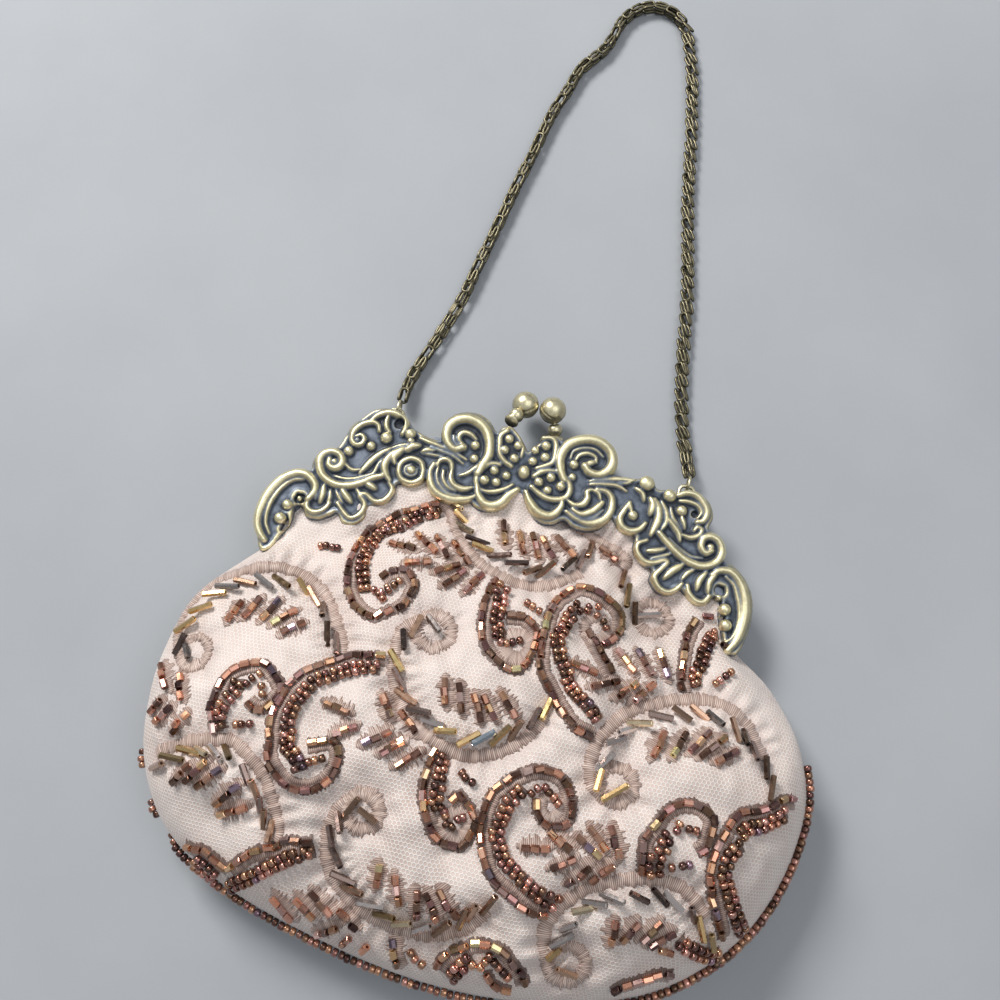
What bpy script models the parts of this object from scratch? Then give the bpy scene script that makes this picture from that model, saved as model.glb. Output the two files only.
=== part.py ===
"""A beaded evening clutch lying on its back: a cast kiss-lock frame, a soft beaded purse and a chain handle.

+X runs to the right across the frame, +Y from the purse to the clasp, +Z up from the face it lies on.
The origin is on the back panel's flat face, on the frame's centre line.
"""

import math

import bmesh
import bpy
import numpy as np
from mathutils import Matrix, Vector
from mathutils.bvhtree import BVHTree

# Driving dimensions, in metres
FRAME_HALF_WIDTH = 0.080
ARCH_RISE = 0.060
HINGE_Y = 0.0285
MID_Z = 0.009
BODY_HALF_WIDTH = 0.100
BODY_DROP = 0.112
BODY_HEIGHT = 0.038
SEAM_Z = 0.014
FIT_GAP = 0.0003

# Channel strip of each frame half
CHANNEL_HALF_WIDTH = 0.0035
CHANNEL_BACK = 0.0007
CHANNEL_WALL = 0.0006
SLOT_HEIGHT = 0.0026
HALF_PARTING = 0.0003
CUT_OVERRUN = 0.002

# Hinge at the frame's ends
TAB_THICKNESS = 0.001
TAB_RADIUS = 0.0026
TAB_INSET = 0.0054
TAB_REACH = 0.0055
TAB_FOOT = 0.0016
RIVET_RADIUS = 0.001
RIVET_HEAD_RADIUS = 0.0019
RIVET_HEAD = 0.0007

# Cast ornament on each frame half
PLATE_THICKNESS = 0.0021
STROKE_RADIUS = 0.0013
FINE_STROKE_RADIUS = 0.0009
STROKE_SINK = 0.0002
STUD_RADIUS = 0.00175
KNOB_RADIUS = 0.00185
MEDALLION_RADIUS = 0.0036
OVAL_LENGTH = 0.003

# Kiss-lock
BALL_RADIUS = 0.0044
BALL_REACH = 0.0072
BALL_GAP = 0.0006
ARM_FOOT_X = 0.008
ARM_FOOT_SHARE = 0.99833
ARM_FOOT_DROP = 0.0048
COLLAR_RADIUS = 0.0015
BEAD_RADIUS = 0.0021
NECK_RADIUS = 0.001

# Fabric
PANEL_THICKNESS = 0.001
LINING_THICKNESS = 0.0005
LINING_DEPTH = 0.0015
PANEL_SLOT_GAP = 0.0003
LOW_BAND = 0.019
LOW_BAND_SIDE = 0.022
LOW_BAND_START = 0.030
LOW_BAND_END = 0.044
CROWN_RUN = 0.075
ROUNDING_RUN = 0.045
BASE_RUN = 0.030
BACK_BAND = 0.021
BACK_RUN = 0.014
BACK_ROUNDING = 0.024
SHOULDER_RUN = 0.010
BAND_RISE = 0.0006
SEAM_GAP = 0.0018
HINGE_SEAM_Z = 0.009
HINGE_SEAM_START = 0.024
HINGE_SEAM_END = 0.004
CORD_RADIUS = 0.0008
CORD_SEAT = 0.0017
CORD_END_SHARE = 0.03
CROWN_ARCH_REACH = 0.066

# Beadwork
EDGING_RADIUS = 0.0011
EDGING_OFFSET = 0.0016
EDGING_START = 0.001
STRAND_HALF_WIDTH = 0.0022
STRAND_HEIGHT = 0.0018
STRAND_EDGE_HEIGHT = 0.0012
STRAND_LIFT = 0.0006
STRAND_STEP = 0.0038

# Chain and its eyes
LEFT_EYE_SHARES = (-0.5875, 0.96833)
RIGHT_EYE_SHARES = (0.6775, 0.88167)
EYE_Z = 0.0066
EYE_WIRE_RADIUS = 0.0006
EYE_HALF_WIDTH = 0.0024
EYE_REACH = 0.0035
EYE_CORNER = 0.0008
LUG_HALF_WIDTH = 0.0034
LUG_HEIGHT = 0.0024
LUG_ROOT_SHARE = 0.625
RING_RADIUS = 0.0025
RING_WIRE_RADIUS = 0.0005
CHAIN_RADIUS = 0.0019
CHAIN_DIP = 20
CHAIN_POINTS = 40

ARCH_SHARES = ((0.95, 0.06), (0.93, 0.215), (0.845, 0.385), (0.7, 0.535), (0.5, 0.66), (0.25, 0.73))
ARCH_TOP_SHARE = 0.75
OUTLINE_SHARES = (
    (-0.86, 0.13), (-0.935, 0.27), (-0.965, 0.45), (-0.925, 0.63), (-0.795, 0.79),
    (-0.575, 0.895), (-0.285, 0.96), (0.035, 1), (0.355, 0.985), (0.655, 0.91), (0.865, 0.77),
    (0.99, 0.595), (1.045, 0.38), (1.005, 0.22), (0.905, 0.075),
)
OUTLINE_END_SHARES = ((-0.96875, -0.01), (0.98125, -0.005))

# Upper and lower ends of the columns of each fabric panel, right to the middle, then the left ones mirrored
FRONT_END_SHARE = 0.032
FRONT_TOP_SHARES = (
    (0.95, -0.17), (0.8625, -0.17), (0.8375, 0), (0.83125, 0.19), (0.6875, 0.235), (0.525, 0.272),
    (0.3625, 0.302), (0.1875, 0.313),
)
FRONT_TOP_MIDDLE_SHARES = (0, 0.318)
FRONT_FOOT_SHARES = (0.06, 0.15, 0.26, 0.31, 0.35, 0.39, 0.425, 0.455, 0.48)
BACK_END_SHARE = 0.022
BACK_TOP_SHARES = (
    (0.925, -0.11), (0.89375, -0.025), (0.885, 0.125), (0.86625, 0.265), (0.83125, 0.41),
    (0.7, 0.54), (0.5, 0.667), (0.25, 0.737),
)
BACK_TOP_MIDDLE_SHARES = (0, 0.758)
BACK_FOOT_SHARES = (0.06, 0.13, 0.19, 0.25, 0.3, 0.34, 0.38, 0.42, 0.46)
FLAP_TOP_SHARES = ((0.8125, 0.425), (0.7, 0.54), (0.6, 0.61), (0.5, 0.667), (0.375, 0.707), (0.25, 0.737), (0.125, 0.753))
FLAP_FOOT_SHARES = (
    (0.80625, 0.252), (0.6875, 0.256), (0.575, 0.28), (0.475, 0.3), (0.3625, 0.32), (0.2375, 0.33), (0.125, 0.334),
)
FLAP_FOOT_MIDDLE_SHARES = (0, 0.335)

# The ornament's plate: its upper edge from the middle outwards, then its lower edge back to the middle
PLATE_TOP_SHARES = (
    (0, 0.845), (0.025, 0.89), (0.055, 0.935), (0.095, 0.97), (0.13, 0.95), (0.145, 0.92), (0.18, 0.97),
    (0.225, 1), (0.275, 1), (0.325, 0.975), (0.36, 0.925), (0.37, 0.87), (0.36, 0.81), (0.41, 0.805),
    (0.46, 0.825), (0.49, 0.845),
)
PLATE_RIGHT_SHARES = (
    (0.525, 0.83), (0.55, 0.79), (0.59, 0.8), (0.625, 0.785), (0.66, 0.815), (0.71, 0.815), (0.765, 0.775),
    (0.79, 0.7), (0.78, 0.625),
)
PLATE_LEFT_SHARES = (
    (0.505, 0.865), (0.54, 0.91), (0.6, 0.925), (0.66, 0.9), (0.705, 0.835), (0.74, 0.775), (0.755, 0.7),
    (0.775, 0.63),
)
PLATE_END_SHARES = (
    (0.825, 0.6), (0.855, 0.535), (0.855, 0.475), (0.9, 0.46), (0.955, 0.4), (0.995, 0.305), (1.005, 0.19),
    (0.995, 0.09), (0.97, 0), (0.94, -0.015), (0.91, 0.025), (0.89, 0.1), (0.87, 0.175), (0.87, 0.26),
    (0.845, 0.265), (0.82, 0.22), (0.77, 0.215), (0.725, 0.25), (0.7, 0.27), (0.67, 0.225), (0.62, 0.225),
    (0.58, 0.28), (0.58, 0.34), (0.54, 0.36), (0.495, 0.42), (0.49, 0.5), (0.45, 0.51), (0.41, 0.535),
    (0.38, 0.575), (0.355, 0.505), (0.3, 0.47), (0.24, 0.475), (0.2, 0.5), (0.16, 0.465), (0.11, 0.46),
    (0.07, 0.495), (0.03, 0.555),
)
PLATE_NOTCH_SHARE = 0.6

# Raised bands that both halves of the ornament carry, and those of one side only
BAND_SHARES = (
    ((0.095, 0.945), (0.12, 0.9), (0.125, 0.84), (0.105, 0.79), (0.07, 0.765)),
    ((0.055, 0.735), (0.12, 0.755), (0.175, 0.725), (0.2, 0.675), (0.175, 0.625), (0.12, 0.605)),
    ((0.04, 0.585), (0.08, 0.525), (0.13, 0.5), (0.17, 0.53), (0.185, 0.59)),
    ((0.26, 0.785), (0.31, 0.785), (0.345, 0.835), (0.34, 0.905), (0.295, 0.955), (0.235, 0.965), (0.175, 0.92),
     (0.145, 0.84), (0.15, 0.75), (0.18, 0.69), (0.215, 0.645)),
    ((0.37, 0.675), (0.37, 0.61), (0.34, 0.55), (0.29, 0.51), (0.24, 0.515), (0.195, 0.555)),
    ((0.78, 0.59), (0.81, 0.58), (0.835, 0.525), (0.825, 0.465), (0.79, 0.425), (0.74, 0.415), (0.68, 0.44),
     (0.63, 0.485), (0.59, 0.53), (0.555, 0.55)),
    ((0.945, 0.01), (0.98, 0.1), (0.99, 0.2), (0.97, 0.3), (0.93, 0.38), (0.885, 0.43), (0.84, 0.43),
     (0.81, 0.39), (0.8, 0.35), (0.82, 0.3)),
)
FINE_BAND_SHARES = (
    ((0.285, 0.835), (0.28, 0.88), (0.25, 0.89), (0.22, 0.87)),
    ((0.34, 0.67), (0.315, 0.62), (0.275, 0.59), (0.23, 0.59)),
    ((0.24, 0.72), (0.31, 0.76), (0.39, 0.77), (0.455, 0.795)),
    ((0.465, 0.76), (0.495, 0.725), (0.51, 0.69)),
    ((0.51, 0.735), (0.535, 0.685), (0.53, 0.62)),
    ((0.55, 0.73), (0.57, 0.66), (0.565, 0.58), (0.54, 0.52)),
    ((0.6, 0.71), (0.63, 0.635), (0.655, 0.57), (0.67, 0.53)),
)
REAR_BANDS_FROM = 3
RIGHT_BAND_SHARES = (
    ((0.635, 0.745), (0.665, 0.785), (0.72, 0.78), (0.755, 0.735), (0.76, 0.67), (0.73, 0.63)),
)
LEFT_BAND_SHARES = (
    ((0.68, 0.815), (0.65, 0.865), (0.6, 0.895), (0.55, 0.885), (0.515, 0.84), (0.52, 0.8)),
    ((0.69, 0.7), (0.73, 0.695), (0.72, 0.74), (0.69, 0.78), (0.65, 0.8)),
)
STUD_SHARES = (
    (0.035, 0.855), (0.08, 0.89), (0.04, 0.79), (0.085, 0.82), (0.065, 0.68), (0.115, 0.71), (0.105, 0.64),
    (0.16, 0.655), (0.205, 0.815), (0.205, 0.74), (0.45, 0.6), (0.77, 0.535), (0.9, 0.24), (0.91, 0.16),
)
KNOB_SHARES = ((0.495, 0.8), (0.59, 0.755))
MEDALLION_SHARES = (0.45, 0.6)
OVAL_SHARES = (0, 0.72)
REAR_LEAF_SHARES = ((0.3, 0.76), (0.325, 0.83), (0.36, 0.855), (0.4, 0.85), (0.43, 0.8), (0.42, 0.7))

# Beaded and satin-stitched strands on the front panel, across and down from the hinge line
STRAND_SHARES = {
    "strand_centre_lobe": ((-0.175, 0.08), (-0.235, 0.19), (-0.215, 0.315), (-0.115, 0.4), (0.035, 0.42), (0.145, 0.385), (0.222, 0.29)),
    "strand_lower_lobe": ((-0.295, 0.685), (-0.265, 0.775), (-0.19, 0.83), (-0.06, 0.865), (0.065, 0.865), (0.165, 0.81), (0.2, 0.765)),
    "strand_left_arch": ((-0.445, 0.19), (-0.475, 0.14), (-0.57, 0.115), (-0.68, 0.12), (-0.79, 0.16), (-0.86, 0.25), (-0.875, 0.335)),
    "strand_right_arch": ((0.885, 0.35), (0.85, 0.23), (0.755, 0.175), (0.625, 0.175), (0.485, 0.215), (0.415, 0.295), (0.405, 0.4)),
    "strand_lower_right_arch": ((0.77, 0.655), (0.685, 0.63), (0.57, 0.63), (0.465, 0.665), (0.39, 0.73), (0.36, 0.845)),
    "strand_lower_left_arch": ((-0.43, 0.75), (-0.495, 0.65), (-0.595, 0.57), (-0.69, 0.55), (-0.805, 0.575), (-0.86, 0.625)),
    "strand_centre_curl": ((0.3, 0.04), (0.33, 0.09), (0.36, 0.12), (0.395, 0.075), (0.405, 0.02), (0.345, -0.027), (0.268, -0.04), (0.2, -0.003), (0.175, 0.05), (0.195, 0.14), (0.245, 0.215), (0.32, 0.285)),
    "strand_inner_curl": ((-0.014, 0.022), (-0.012, 0.1), (0.045, 0.17), (0.11, 0.2)),
    "strand_left_curl": ((-0.265, 0.245), (-0.39, 0.275), (-0.49, 0.335), (-0.515, 0.405), (-0.54, 0.485), (-0.49, 0.565), (-0.41, 0.595), (-0.33, 0.57), (-0.32, 0.505)),
    "strand_left_hook": ((-0.724, 0.505), (-0.735, 0.46), (-0.72, 0.385), (-0.64, 0.335), (-0.585, 0.325)),
    "strand_right_hook": ((0.555, 0.56), (0.585, 0.495), (0.66, 0.44)),
    "strand_right_sweep": ((0.96, 0.36), (0.855, 0.42), (0.78, 0.48), (0.755, 0.57)),
    "strand_lower_curl": ((0.28, 0.53), (0.318, 0.5), (0.275, 0.448), (0.195, 0.465), (0.14, 0.53), (0.138, 0.605), (0.18, 0.68), (0.25, 0.72), (0.325, 0.737)),
    "strand_lower_hook": ((-0.04, 0.485), (-0.042, 0.55), (0.005, 0.62), (0.075, 0.6)),
    "strand_bottom_curl": ((0.085, 0.93), (0.14, 0.885), (0.2, 0.87), (0.27, 0.895), (0.315, 0.93)),
    "strand_upper_curl": ((-0.26, -0.125), (-0.345, -0.115), (-0.42, -0.05), (-0.43, 0.035), (-0.4, 0.115), (-0.335, 0.15), (-0.27, 0.115)),
}

# The chain's route from the left eye to the right one
CHAIN_ROUTE = (
    (-0.0466, 0.0960, 0.0036), (-0.0456, 0.1030, 0.0022), (-0.0404, 0.1190, 0.0021),
    (-0.0360, 0.1340, 0.0021), (-0.0331, 0.1500, 0.0021), (-0.0297, 0.1680, 0.0021),
    (-0.0269, 0.1840, 0.0021), (-0.0236, 0.2000, 0.0021), (-0.0205, 0.2170, 0.0021),
    (-0.0168, 0.2290, 0.0021), (-0.0142, 0.2385, 0.0021), (-0.0106, 0.2445, 0.0021),
    (-0.0069, 0.2500, 0.0021), (-0.0046, 0.2560, 0.0021), (-0.0026, 0.2640, 0.0021),
    (0.0014, 0.2705, 0.0021), (0.0070, 0.2740, 0.0021), (0.0124, 0.2742, 0.0021),
    (0.0182, 0.2718, 0.0021), (0.0229, 0.2660, 0.0021), (0.0253, 0.2580, 0.0021),
    (0.0280, 0.2485, 0.0021), (0.0303, 0.2350, 0.0021), (0.0329, 0.2180, 0.0021),
    (0.0361, 0.1920, 0.0021), (0.0396, 0.1715, 0.0021), (0.0427, 0.1520, 0.0021),
    (0.0443, 0.1360, 0.0021), (0.0464, 0.1190, 0.0021), (0.0490, 0.1050, 0.0021),
    (0.0514, 0.0960, 0.0024), (0.0530, 0.0905, 0.0036),
)

# Values that follow from the ones above
CHANNEL_HEIGHT = SLOT_HEIGHT + 2 * CHANNEL_WALL
HALF_DEPTH = HALF_PARTING + CHANNEL_HEIGHT
PLATE_BASE = HALF_DEPTH + FIT_GAP
PLATE_TOP = PLATE_BASE + PLATE_THICKNESS
PANEL_LEVEL = HALF_DEPTH - CHANNEL_WALL - PANEL_SLOT_GAP
TAB_INNER_X = FRAME_HALF_WIDTH - TAB_INSET
ARM_FOOT_Y = HINGE_Y + ARM_FOOT_SHARE * ARCH_RISE
BALL_Y = ARM_FOOT_Y + BALL_REACH
LEFT_EYE_X = LEFT_EYE_SHARES[0] * FRAME_HALF_WIDTH
LEFT_EYE_Y = HINGE_Y + LEFT_EYE_SHARES[1] * ARCH_RISE
RIGHT_EYE_X = RIGHT_EYE_SHARES[0] * FRAME_HALF_WIDTH
RIGHT_EYE_Y = HINGE_Y + RIGHT_EYE_SHARES[1] * ARCH_RISE
LUG_ROOT_Y = HINGE_Y + LUG_ROOT_SHARE * ARCH_RISE


def clear_scene():
    for old in list(bpy.data.objects):
        bpy.data.objects.remove(old, do_unlink=True)


def collection_named(name, hidden=False):
    made = bpy.data.collections.new(name)
    bpy.context.scene.collection.children.link(made)
    made.hide_render = hidden
    return made


def material_of(name, colour, roughness, metallic=0.0):
    made = bpy.data.materials.new(name)
    made.use_nodes = True
    shader = made.node_tree.nodes["Principled BSDF"]
    shader.inputs["Base Color"].default_value = (*colour, 1)
    shader.inputs["Roughness"].default_value = roughness
    shader.inputs["Metallic"].default_value = metallic
    return made


def add_object(name, data, collection, material=None):
    made = bpy.data.objects.new(name, data)
    collection.objects.link(made)
    if material:
        data.materials.append(material)
    return made


def add_cutter(name, data, collection):
    made = add_object(name, data, collection)
    made.hide_render = True
    made.display_type = "WIRE"
    return made


def frame_place(share):
    """A place on the frame, across from its middle and up from the hinge line."""
    return Vector((share[0] * FRAME_HALF_WIDTH, HINGE_Y + share[1] * ARCH_RISE))


def body_place(share):
    """A place on the purse, across from the frame's middle and down from the hinge line."""
    return Vector((share[0] * BODY_HALF_WIDTH, HINGE_Y - share[1] * BODY_DROP))


def shoulder_place(share):
    """A place beside the frame's end, across by the frame's half width and down from the hinge line."""
    return Vector((share[0] * FRAME_HALF_WIDTH, HINGE_Y - share[1] * BODY_DROP))


def mirrored(places, middle):
    """Right-hand places given from the outside in, with the middle one and their left-hand copies."""
    left = [Vector((-place.x, *place[1:])) for place in places]
    return left + [middle] + list(reversed(places))


def smooth_path(places, steps):
    """A Catmull-Rom curve through the places, with a number of steps between each two."""
    ends = [2 * places[0] - places[1], *places, 2 * places[-1] - places[-2]]
    path = []
    for before, start, end, after in zip(ends, ends[1:], ends[2:], ends[3:]):
        for step in range(steps):
            t = step / steps
            path.append(
                start
                + (end - before) * t / 2
                + (before * 2 - start * 5 + end * 4 - after) * t * t / 2
                + (start * 3 - before - end * 3 + after) * t**3 / 2
            )
    return path + [places[-1].copy()]


def along(path, count, first=0.0, last=1.0):
    """Evenly spaced points on a path, between two shares of its length."""
    lengths = np.cumsum([0] + [(b - a).length for a, b in zip(path, path[1:])])
    wanted = np.linspace(first, last, count) * lengths[-1]
    axes = [np.interp(wanted, lengths, [point[axis] for point in path]) for axis in range(len(path[0]))]
    return [Vector(point) for point in zip(*axes)]


def offset_path(path, distance):
    """The path moved to its left by a distance."""
    moved = []
    for index, point in enumerate(path):
        along_it = path[min(index + 1, len(path) - 1)] - path[max(index - 1, 0)]
        moved.append(point + Vector((-along_it.y, along_it.x)).normalized() * distance)
    return moved


def distance_to(path, place):
    """The least distance from a place to a flat path."""
    starts = np.array([point[:2] for point in path[:-1]])
    runs = np.array([point[:2] for point in path[1:]]) - starts
    to_place = np.array(place[:2]) - starts
    shares = np.clip((to_place * runs).sum(axis=1) / (runs * runs).sum(axis=1), 0, 1)
    return float(np.linalg.norm(to_place - runs * shares[:, None], axis=1).min())


def eased(value):
    held = min(max(value, 0), 1)
    return held * held * (3 - 2 * held)


def flat_outline(name, places, low, high):
    """A closed flat outline raised between two levels, as a mesh."""
    curve = bpy.data.curves.new(name, "CURVE")
    curve.dimensions = "2D"
    curve.fill_mode = "BOTH"
    curve.extrude = (high - low) / 2
    spline = curve.splines.new("POLY")
    spline.points.add(len(places) - 1)
    for point, place in zip(spline.points, places):
        point.co = (place.x, place.y, 0, 1)
    spline.use_cyclic_u = True
    mesh = mesh_of_curve(name, curve)
    mesh.transform(Matrix.Translation((0, 0, (low + high) / 2)))
    return mesh


def tube(name, points, radius, resolution=1, tapers=None):
    """A round tube along the points, with filled caps, as a mesh."""
    curve = bpy.data.curves.new(name, "CURVE")
    curve.dimensions = "3D"
    curve.bevel_depth = radius
    curve.bevel_resolution = resolution
    curve.use_fill_caps = True
    spline = curve.splines.new("POLY")
    spline.points.add(len(points) - 1)
    for index, (point, place) in enumerate(zip(spline.points, points)):
        point.co = (*place, 1)
        point.radius = tapers[index] if tapers else 1
    return mesh_of_curve(name, curve)


def mesh_of_curve(name, curve):
    """The curve's solid as a welded mesh, without the curve."""
    holder = bpy.data.objects.new(name, curve)
    made = bpy.data.meshes.new_from_object(holder)
    made.name = name
    bpy.data.objects.remove(holder)
    bpy.data.curves.remove(curve)
    shape = bmesh.new()
    shape.from_mesh(made)
    bmesh.ops.remove_doubles(shape, verts=shape.verts, dist=FIT_GAP / 100)
    bmesh.ops.recalc_face_normals(shape, faces=shape.faces)
    shape.to_mesh(made)
    shape.free()
    return made


def box_mesh(name, low, high):
    shape = bmesh.new()
    bmesh.ops.create_cube(shape, size=1)
    size = [b - a for a, b in zip(low, high)]
    centre = [(a + b) / 2 for a, b in zip(low, high)]
    bmesh.ops.scale(shape, vec=size, verts=shape.verts)
    bmesh.ops.translate(shape, vec=centre, verts=shape.verts)
    made = bpy.data.meshes.new(name)
    shape.to_mesh(made)
    shape.free()
    return made


def ball_mesh(name, centre, radius, segments, rings, stretch=1.0):
    shape = bmesh.new()
    bmesh.ops.create_uvsphere(shape, u_segments=segments, v_segments=rings, radius=radius)
    bmesh.ops.scale(shape, vec=(1, stretch, 1), verts=shape.verts)
    bmesh.ops.translate(shape, vec=centre, verts=shape.verts)
    made = bpy.data.meshes.new(name)
    shape.to_mesh(made)
    shape.free()
    return made


def pin_mesh(name, centre, radius, low_x, high_x, segments=12):
    """A round pin along X."""
    shape = bmesh.new()
    bmesh.ops.create_cone(
        shape, cap_ends=True, segments=segments, radius1=radius, radius2=radius, depth=high_x - low_x
    )
    bmesh.ops.rotate(shape, matrix=Matrix.Rotation(math.radians(90), 3, "Y"), verts=shape.verts)
    bmesh.ops.translate(shape, vec=((low_x + high_x) / 2, *centre), verts=shape.verts)
    made = bpy.data.meshes.new(name)
    shape.to_mesh(made)
    shape.free()
    return made


def ring_mesh(name, radius, wire_radius, segments=14, sides=6):
    """A closed ring in the YZ plane, its centre at the origin."""
    profile = [
        Vector((0, radius + wire_radius * math.cos(turn), wire_radius * math.sin(turn)))
        for turn in (2 * math.pi * side / sides for side in range(sides))
    ]
    shape = bmesh.new()
    verts = [shape.verts.new((point.z, point.y, 0)) for point in profile]
    edges = [shape.edges.new((verts[i], verts[(i + 1) % sides])) for i in range(sides)]
    bmesh.ops.spin(
        shape, geom=verts + edges, cent=(0, 0, 0), axis=(1, 0, 0), angle=2 * math.pi,
        steps=segments, use_merge=True, use_duplicate=False,
    )
    bmesh.ops.recalc_face_normals(shape, faces=shape.faces)
    made = bpy.data.meshes.new(name)
    shape.to_mesh(made)
    shape.free()
    return made


def turned_object(name, profile, foot, tip, collection, material, steps=12):
    """A turned piece whose axis runs from its foot to its tip. The profile is (radius, share of its length)."""
    length = (tip - foot).length
    mesh = bpy.data.meshes.new(name)
    shape = bmesh.new()
    verts = [shape.verts.new((radius, 0, share * length)) for radius, share in reversed(profile)]
    for above, below in zip(verts, verts[1:]):
        shape.edges.new((above, below))
    shape.to_mesh(mesh)
    shape.free()
    made = add_object(name, mesh, collection, material)
    screw = made.modifiers.new("Turn", "SCREW")
    screw.steps = steps
    screw.render_steps = steps
    screw.use_merge_vertices = True
    screw.merge_threshold = FIT_GAP / 100
    made.location = foot
    made.rotation_mode = "QUATERNION"
    made.rotation_quaternion = (tip - foot).to_track_quat("Z", "Y")
    return made


def boolean(made, operation, other):
    modifier = made.modifiers.new(operation.title(), "BOOLEAN")
    modifier.operation = operation
    if isinstance(other, bpy.types.Collection):
        modifier.operand_type = "COLLECTION"
        modifier.collection = other
    else:
        modifier.object = other
    return modifier


def keep_place(made, carrier):
    """Parents a piece to its joint's empty without moving it."""
    made.parent = carrier
    made.matrix_parent_inverse = carrier.matrix_world.inverted()


def shade_round(made):
    made.data.shade_smooth()
    made.data.set_sharp_from_angle(angle=math.radians(50))


class Purse:
    """The lines that the fabric follows, and the height of its outer faces."""

    def __init__(self):
        arch = mirrored([frame_place(s) for s in ARCH_SHARES], frame_place((0, ARCH_TOP_SHARE)))
        self.arch = smooth_path(arch, 3)
        self.crown_arch = [point for point in self.arch if abs(point.x) <= CROWN_ARCH_REACH]
        first, last = [shoulder_place(s) for s in OUTLINE_END_SHARES]
        self.outline = smooth_path([first, *[body_place(s) for s in OUTLINE_SHARES], last], 4)

    def seam_height(self, place):
        """The seam comes down to the hinge at both shoulders."""
        drop = eased((place[1] - HINGE_SEAM_END) / (HINGE_SEAM_START - HINGE_SEAM_END))
        return SEAM_Z + (HINGE_SEAM_Z - SEAM_Z) * drop

    def seam_place(self, share):
        return along(self.outline, 2, share, share)[0]

    def base_height(self, place, side, from_frame, from_edge, band):
        """The level that the fabric starts from: the frame's near it, the seam's away from it and at the edge."""
        low = MID_Z + side * (PANEL_LEVEL + BAND_RISE * min(from_frame / band, 1))
        away = min(max((from_frame - band) / BASE_RUN, 0), 1)
        share = max(away, 1 - eased(from_edge / SHOULDER_RUN))
        return low + (self.seam_height(place) + side * SEAM_GAP / 2 - low) * share

    def front_height(self, place):
        from_frame = distance_to(self.crown_arch, place)
        from_edge = distance_to(self.outline, place)
        to_side = eased((abs(place[0]) - LOW_BAND_START) / (LOW_BAND_END - LOW_BAND_START))
        band = LOW_BAND + (LOW_BAND_SIDE - LOW_BAND) * to_side
        base = self.base_height(place, 1, from_frame, from_edge, band)
        crown = 1 - (1 - min(max((from_frame - band) / CROWN_RUN, 0), 1)) ** 2.2
        rounding = (1 - (1 - min(from_edge / ROUNDING_RUN, 1)) ** 2) ** 0.6
        return base + (BODY_HEIGHT - base) * crown * rounding

    def back_height(self, place):
        from_frame = distance_to(self.arch, place)
        from_edge = distance_to(self.outline, place)
        base = self.base_height(place, -1, from_frame, from_edge, BACK_BAND)
        flat = eased((from_frame - BACK_BAND) / BACK_RUN) * (1 - (1 - min(from_edge / BACK_ROUNDING, 1)) ** 2)
        return base * (1 - flat) if flat < 0.995 else 0


def set_in(height, place, depth, side):
    """The point under a place of the fabric's outer face, a depth inside it."""
    step = FIT_GAP
    level = height(place)
    slope_x = (height((place[0] + step, place[1])) - level) / step
    slope_y = (height((place[0], place[1] + step)) - level) / step
    normal = Vector((-slope_x, -slope_y, 1)).normalized() * side
    return Vector((place[0], place[1], level)) - normal * depth


def fabric_grid(name, tops, feet, rows, height, side, depth=0.0):
    """An open sheet of fabric between two lines, as a mesh that faces out."""
    columns = [
        [set_in(height, top.lerp(foot, row), depth, side) for row in rows] for top, foot in zip(tops, feet)
    ]
    shape = bmesh.new()
    verts = [[shape.verts.new(point) for point in column] for column in columns]
    for left, right in zip(verts, verts[1:]):
        for row in range(len(rows) - 1):
            corners = [left[row], left[row + 1], right[row + 1], right[row]]
            shape.faces.new(corners if side > 0 else reversed(corners))
    made = bpy.data.meshes.new(name)
    shape.to_mesh(made)
    shape.free()
    return made


def add_fabric(name, mesh, thickness, collection, material):
    made = add_object(name, mesh, collection, material)
    solid = made.modifiers.new("Thickness", "SOLIDIFY")
    solid.thickness = thickness
    solid.offset = -1
    shade_round(made)
    return made


def panel_lines(purse, end_share, top_shares, middle_shares, foot_shares):
    """The upper and lower ends of a panel's columns, from left to right. The outermost ones start on the seam."""
    tops = mirrored([frame_place(s) for s in top_shares], frame_place(middle_shares))
    tops = [purse.seam_place(end_share), *tops, purse.seam_place(1 - end_share)]
    stations = [*foot_shares, 0.5, *(1 - share for share in reversed(foot_shares))]
    feet = [purse.seam_place(share) for share in stations]
    return by_station(smooth_path(tops, 6), PANEL_COLUMNS), by_station(smooth_path(feet, 6), PANEL_COLUMNS)


def by_station(path, count):
    """Points evenly spaced by station, not by length, so that two lines keep their pairs."""
    wanted = np.linspace(0, len(path) - 1, count)
    axes = [np.interp(wanted, np.arange(len(path)), [point[axis] for point in path]) for axis in (0, 1)]
    return [Vector(point) for point in zip(*axes)]


FRONT_ROWS = (0, 0.04, 0.13, 0.26, 0.43, 0.61, 0.77, 0.89, 0.96, 1)
BACK_ROWS = (0, 0.14, 0.24, 0.4, 0.58, 0.75, 0.87, 0.95, 1)
FLAP_ROWS = (0, 0.38, 0.74, 1)
PANEL_COLUMNS = 29
FLAP_COLUMNS = 25


def make_panel(name, lines, rows, height, side, parts, fabric, lining):
    """A fabric panel from the frame to the seam, and its lining, which stops short of the seam."""
    tops, feet = lines
    outer = fabric_grid(f"{name}_panel", tops, feet, rows, height, side)
    panel = add_fabric(f"{name}_panel", outer, PANEL_THICKNESS, parts, fabric)
    inner = fabric_grid(f"{name}_lining", tops[1:-1], feet[1:-1], rows[:-1], height, side, LINING_DEPTH)
    add_fabric(f"{name}_lining", inner, LINING_THICKNESS, parts, lining)
    return panel


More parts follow.
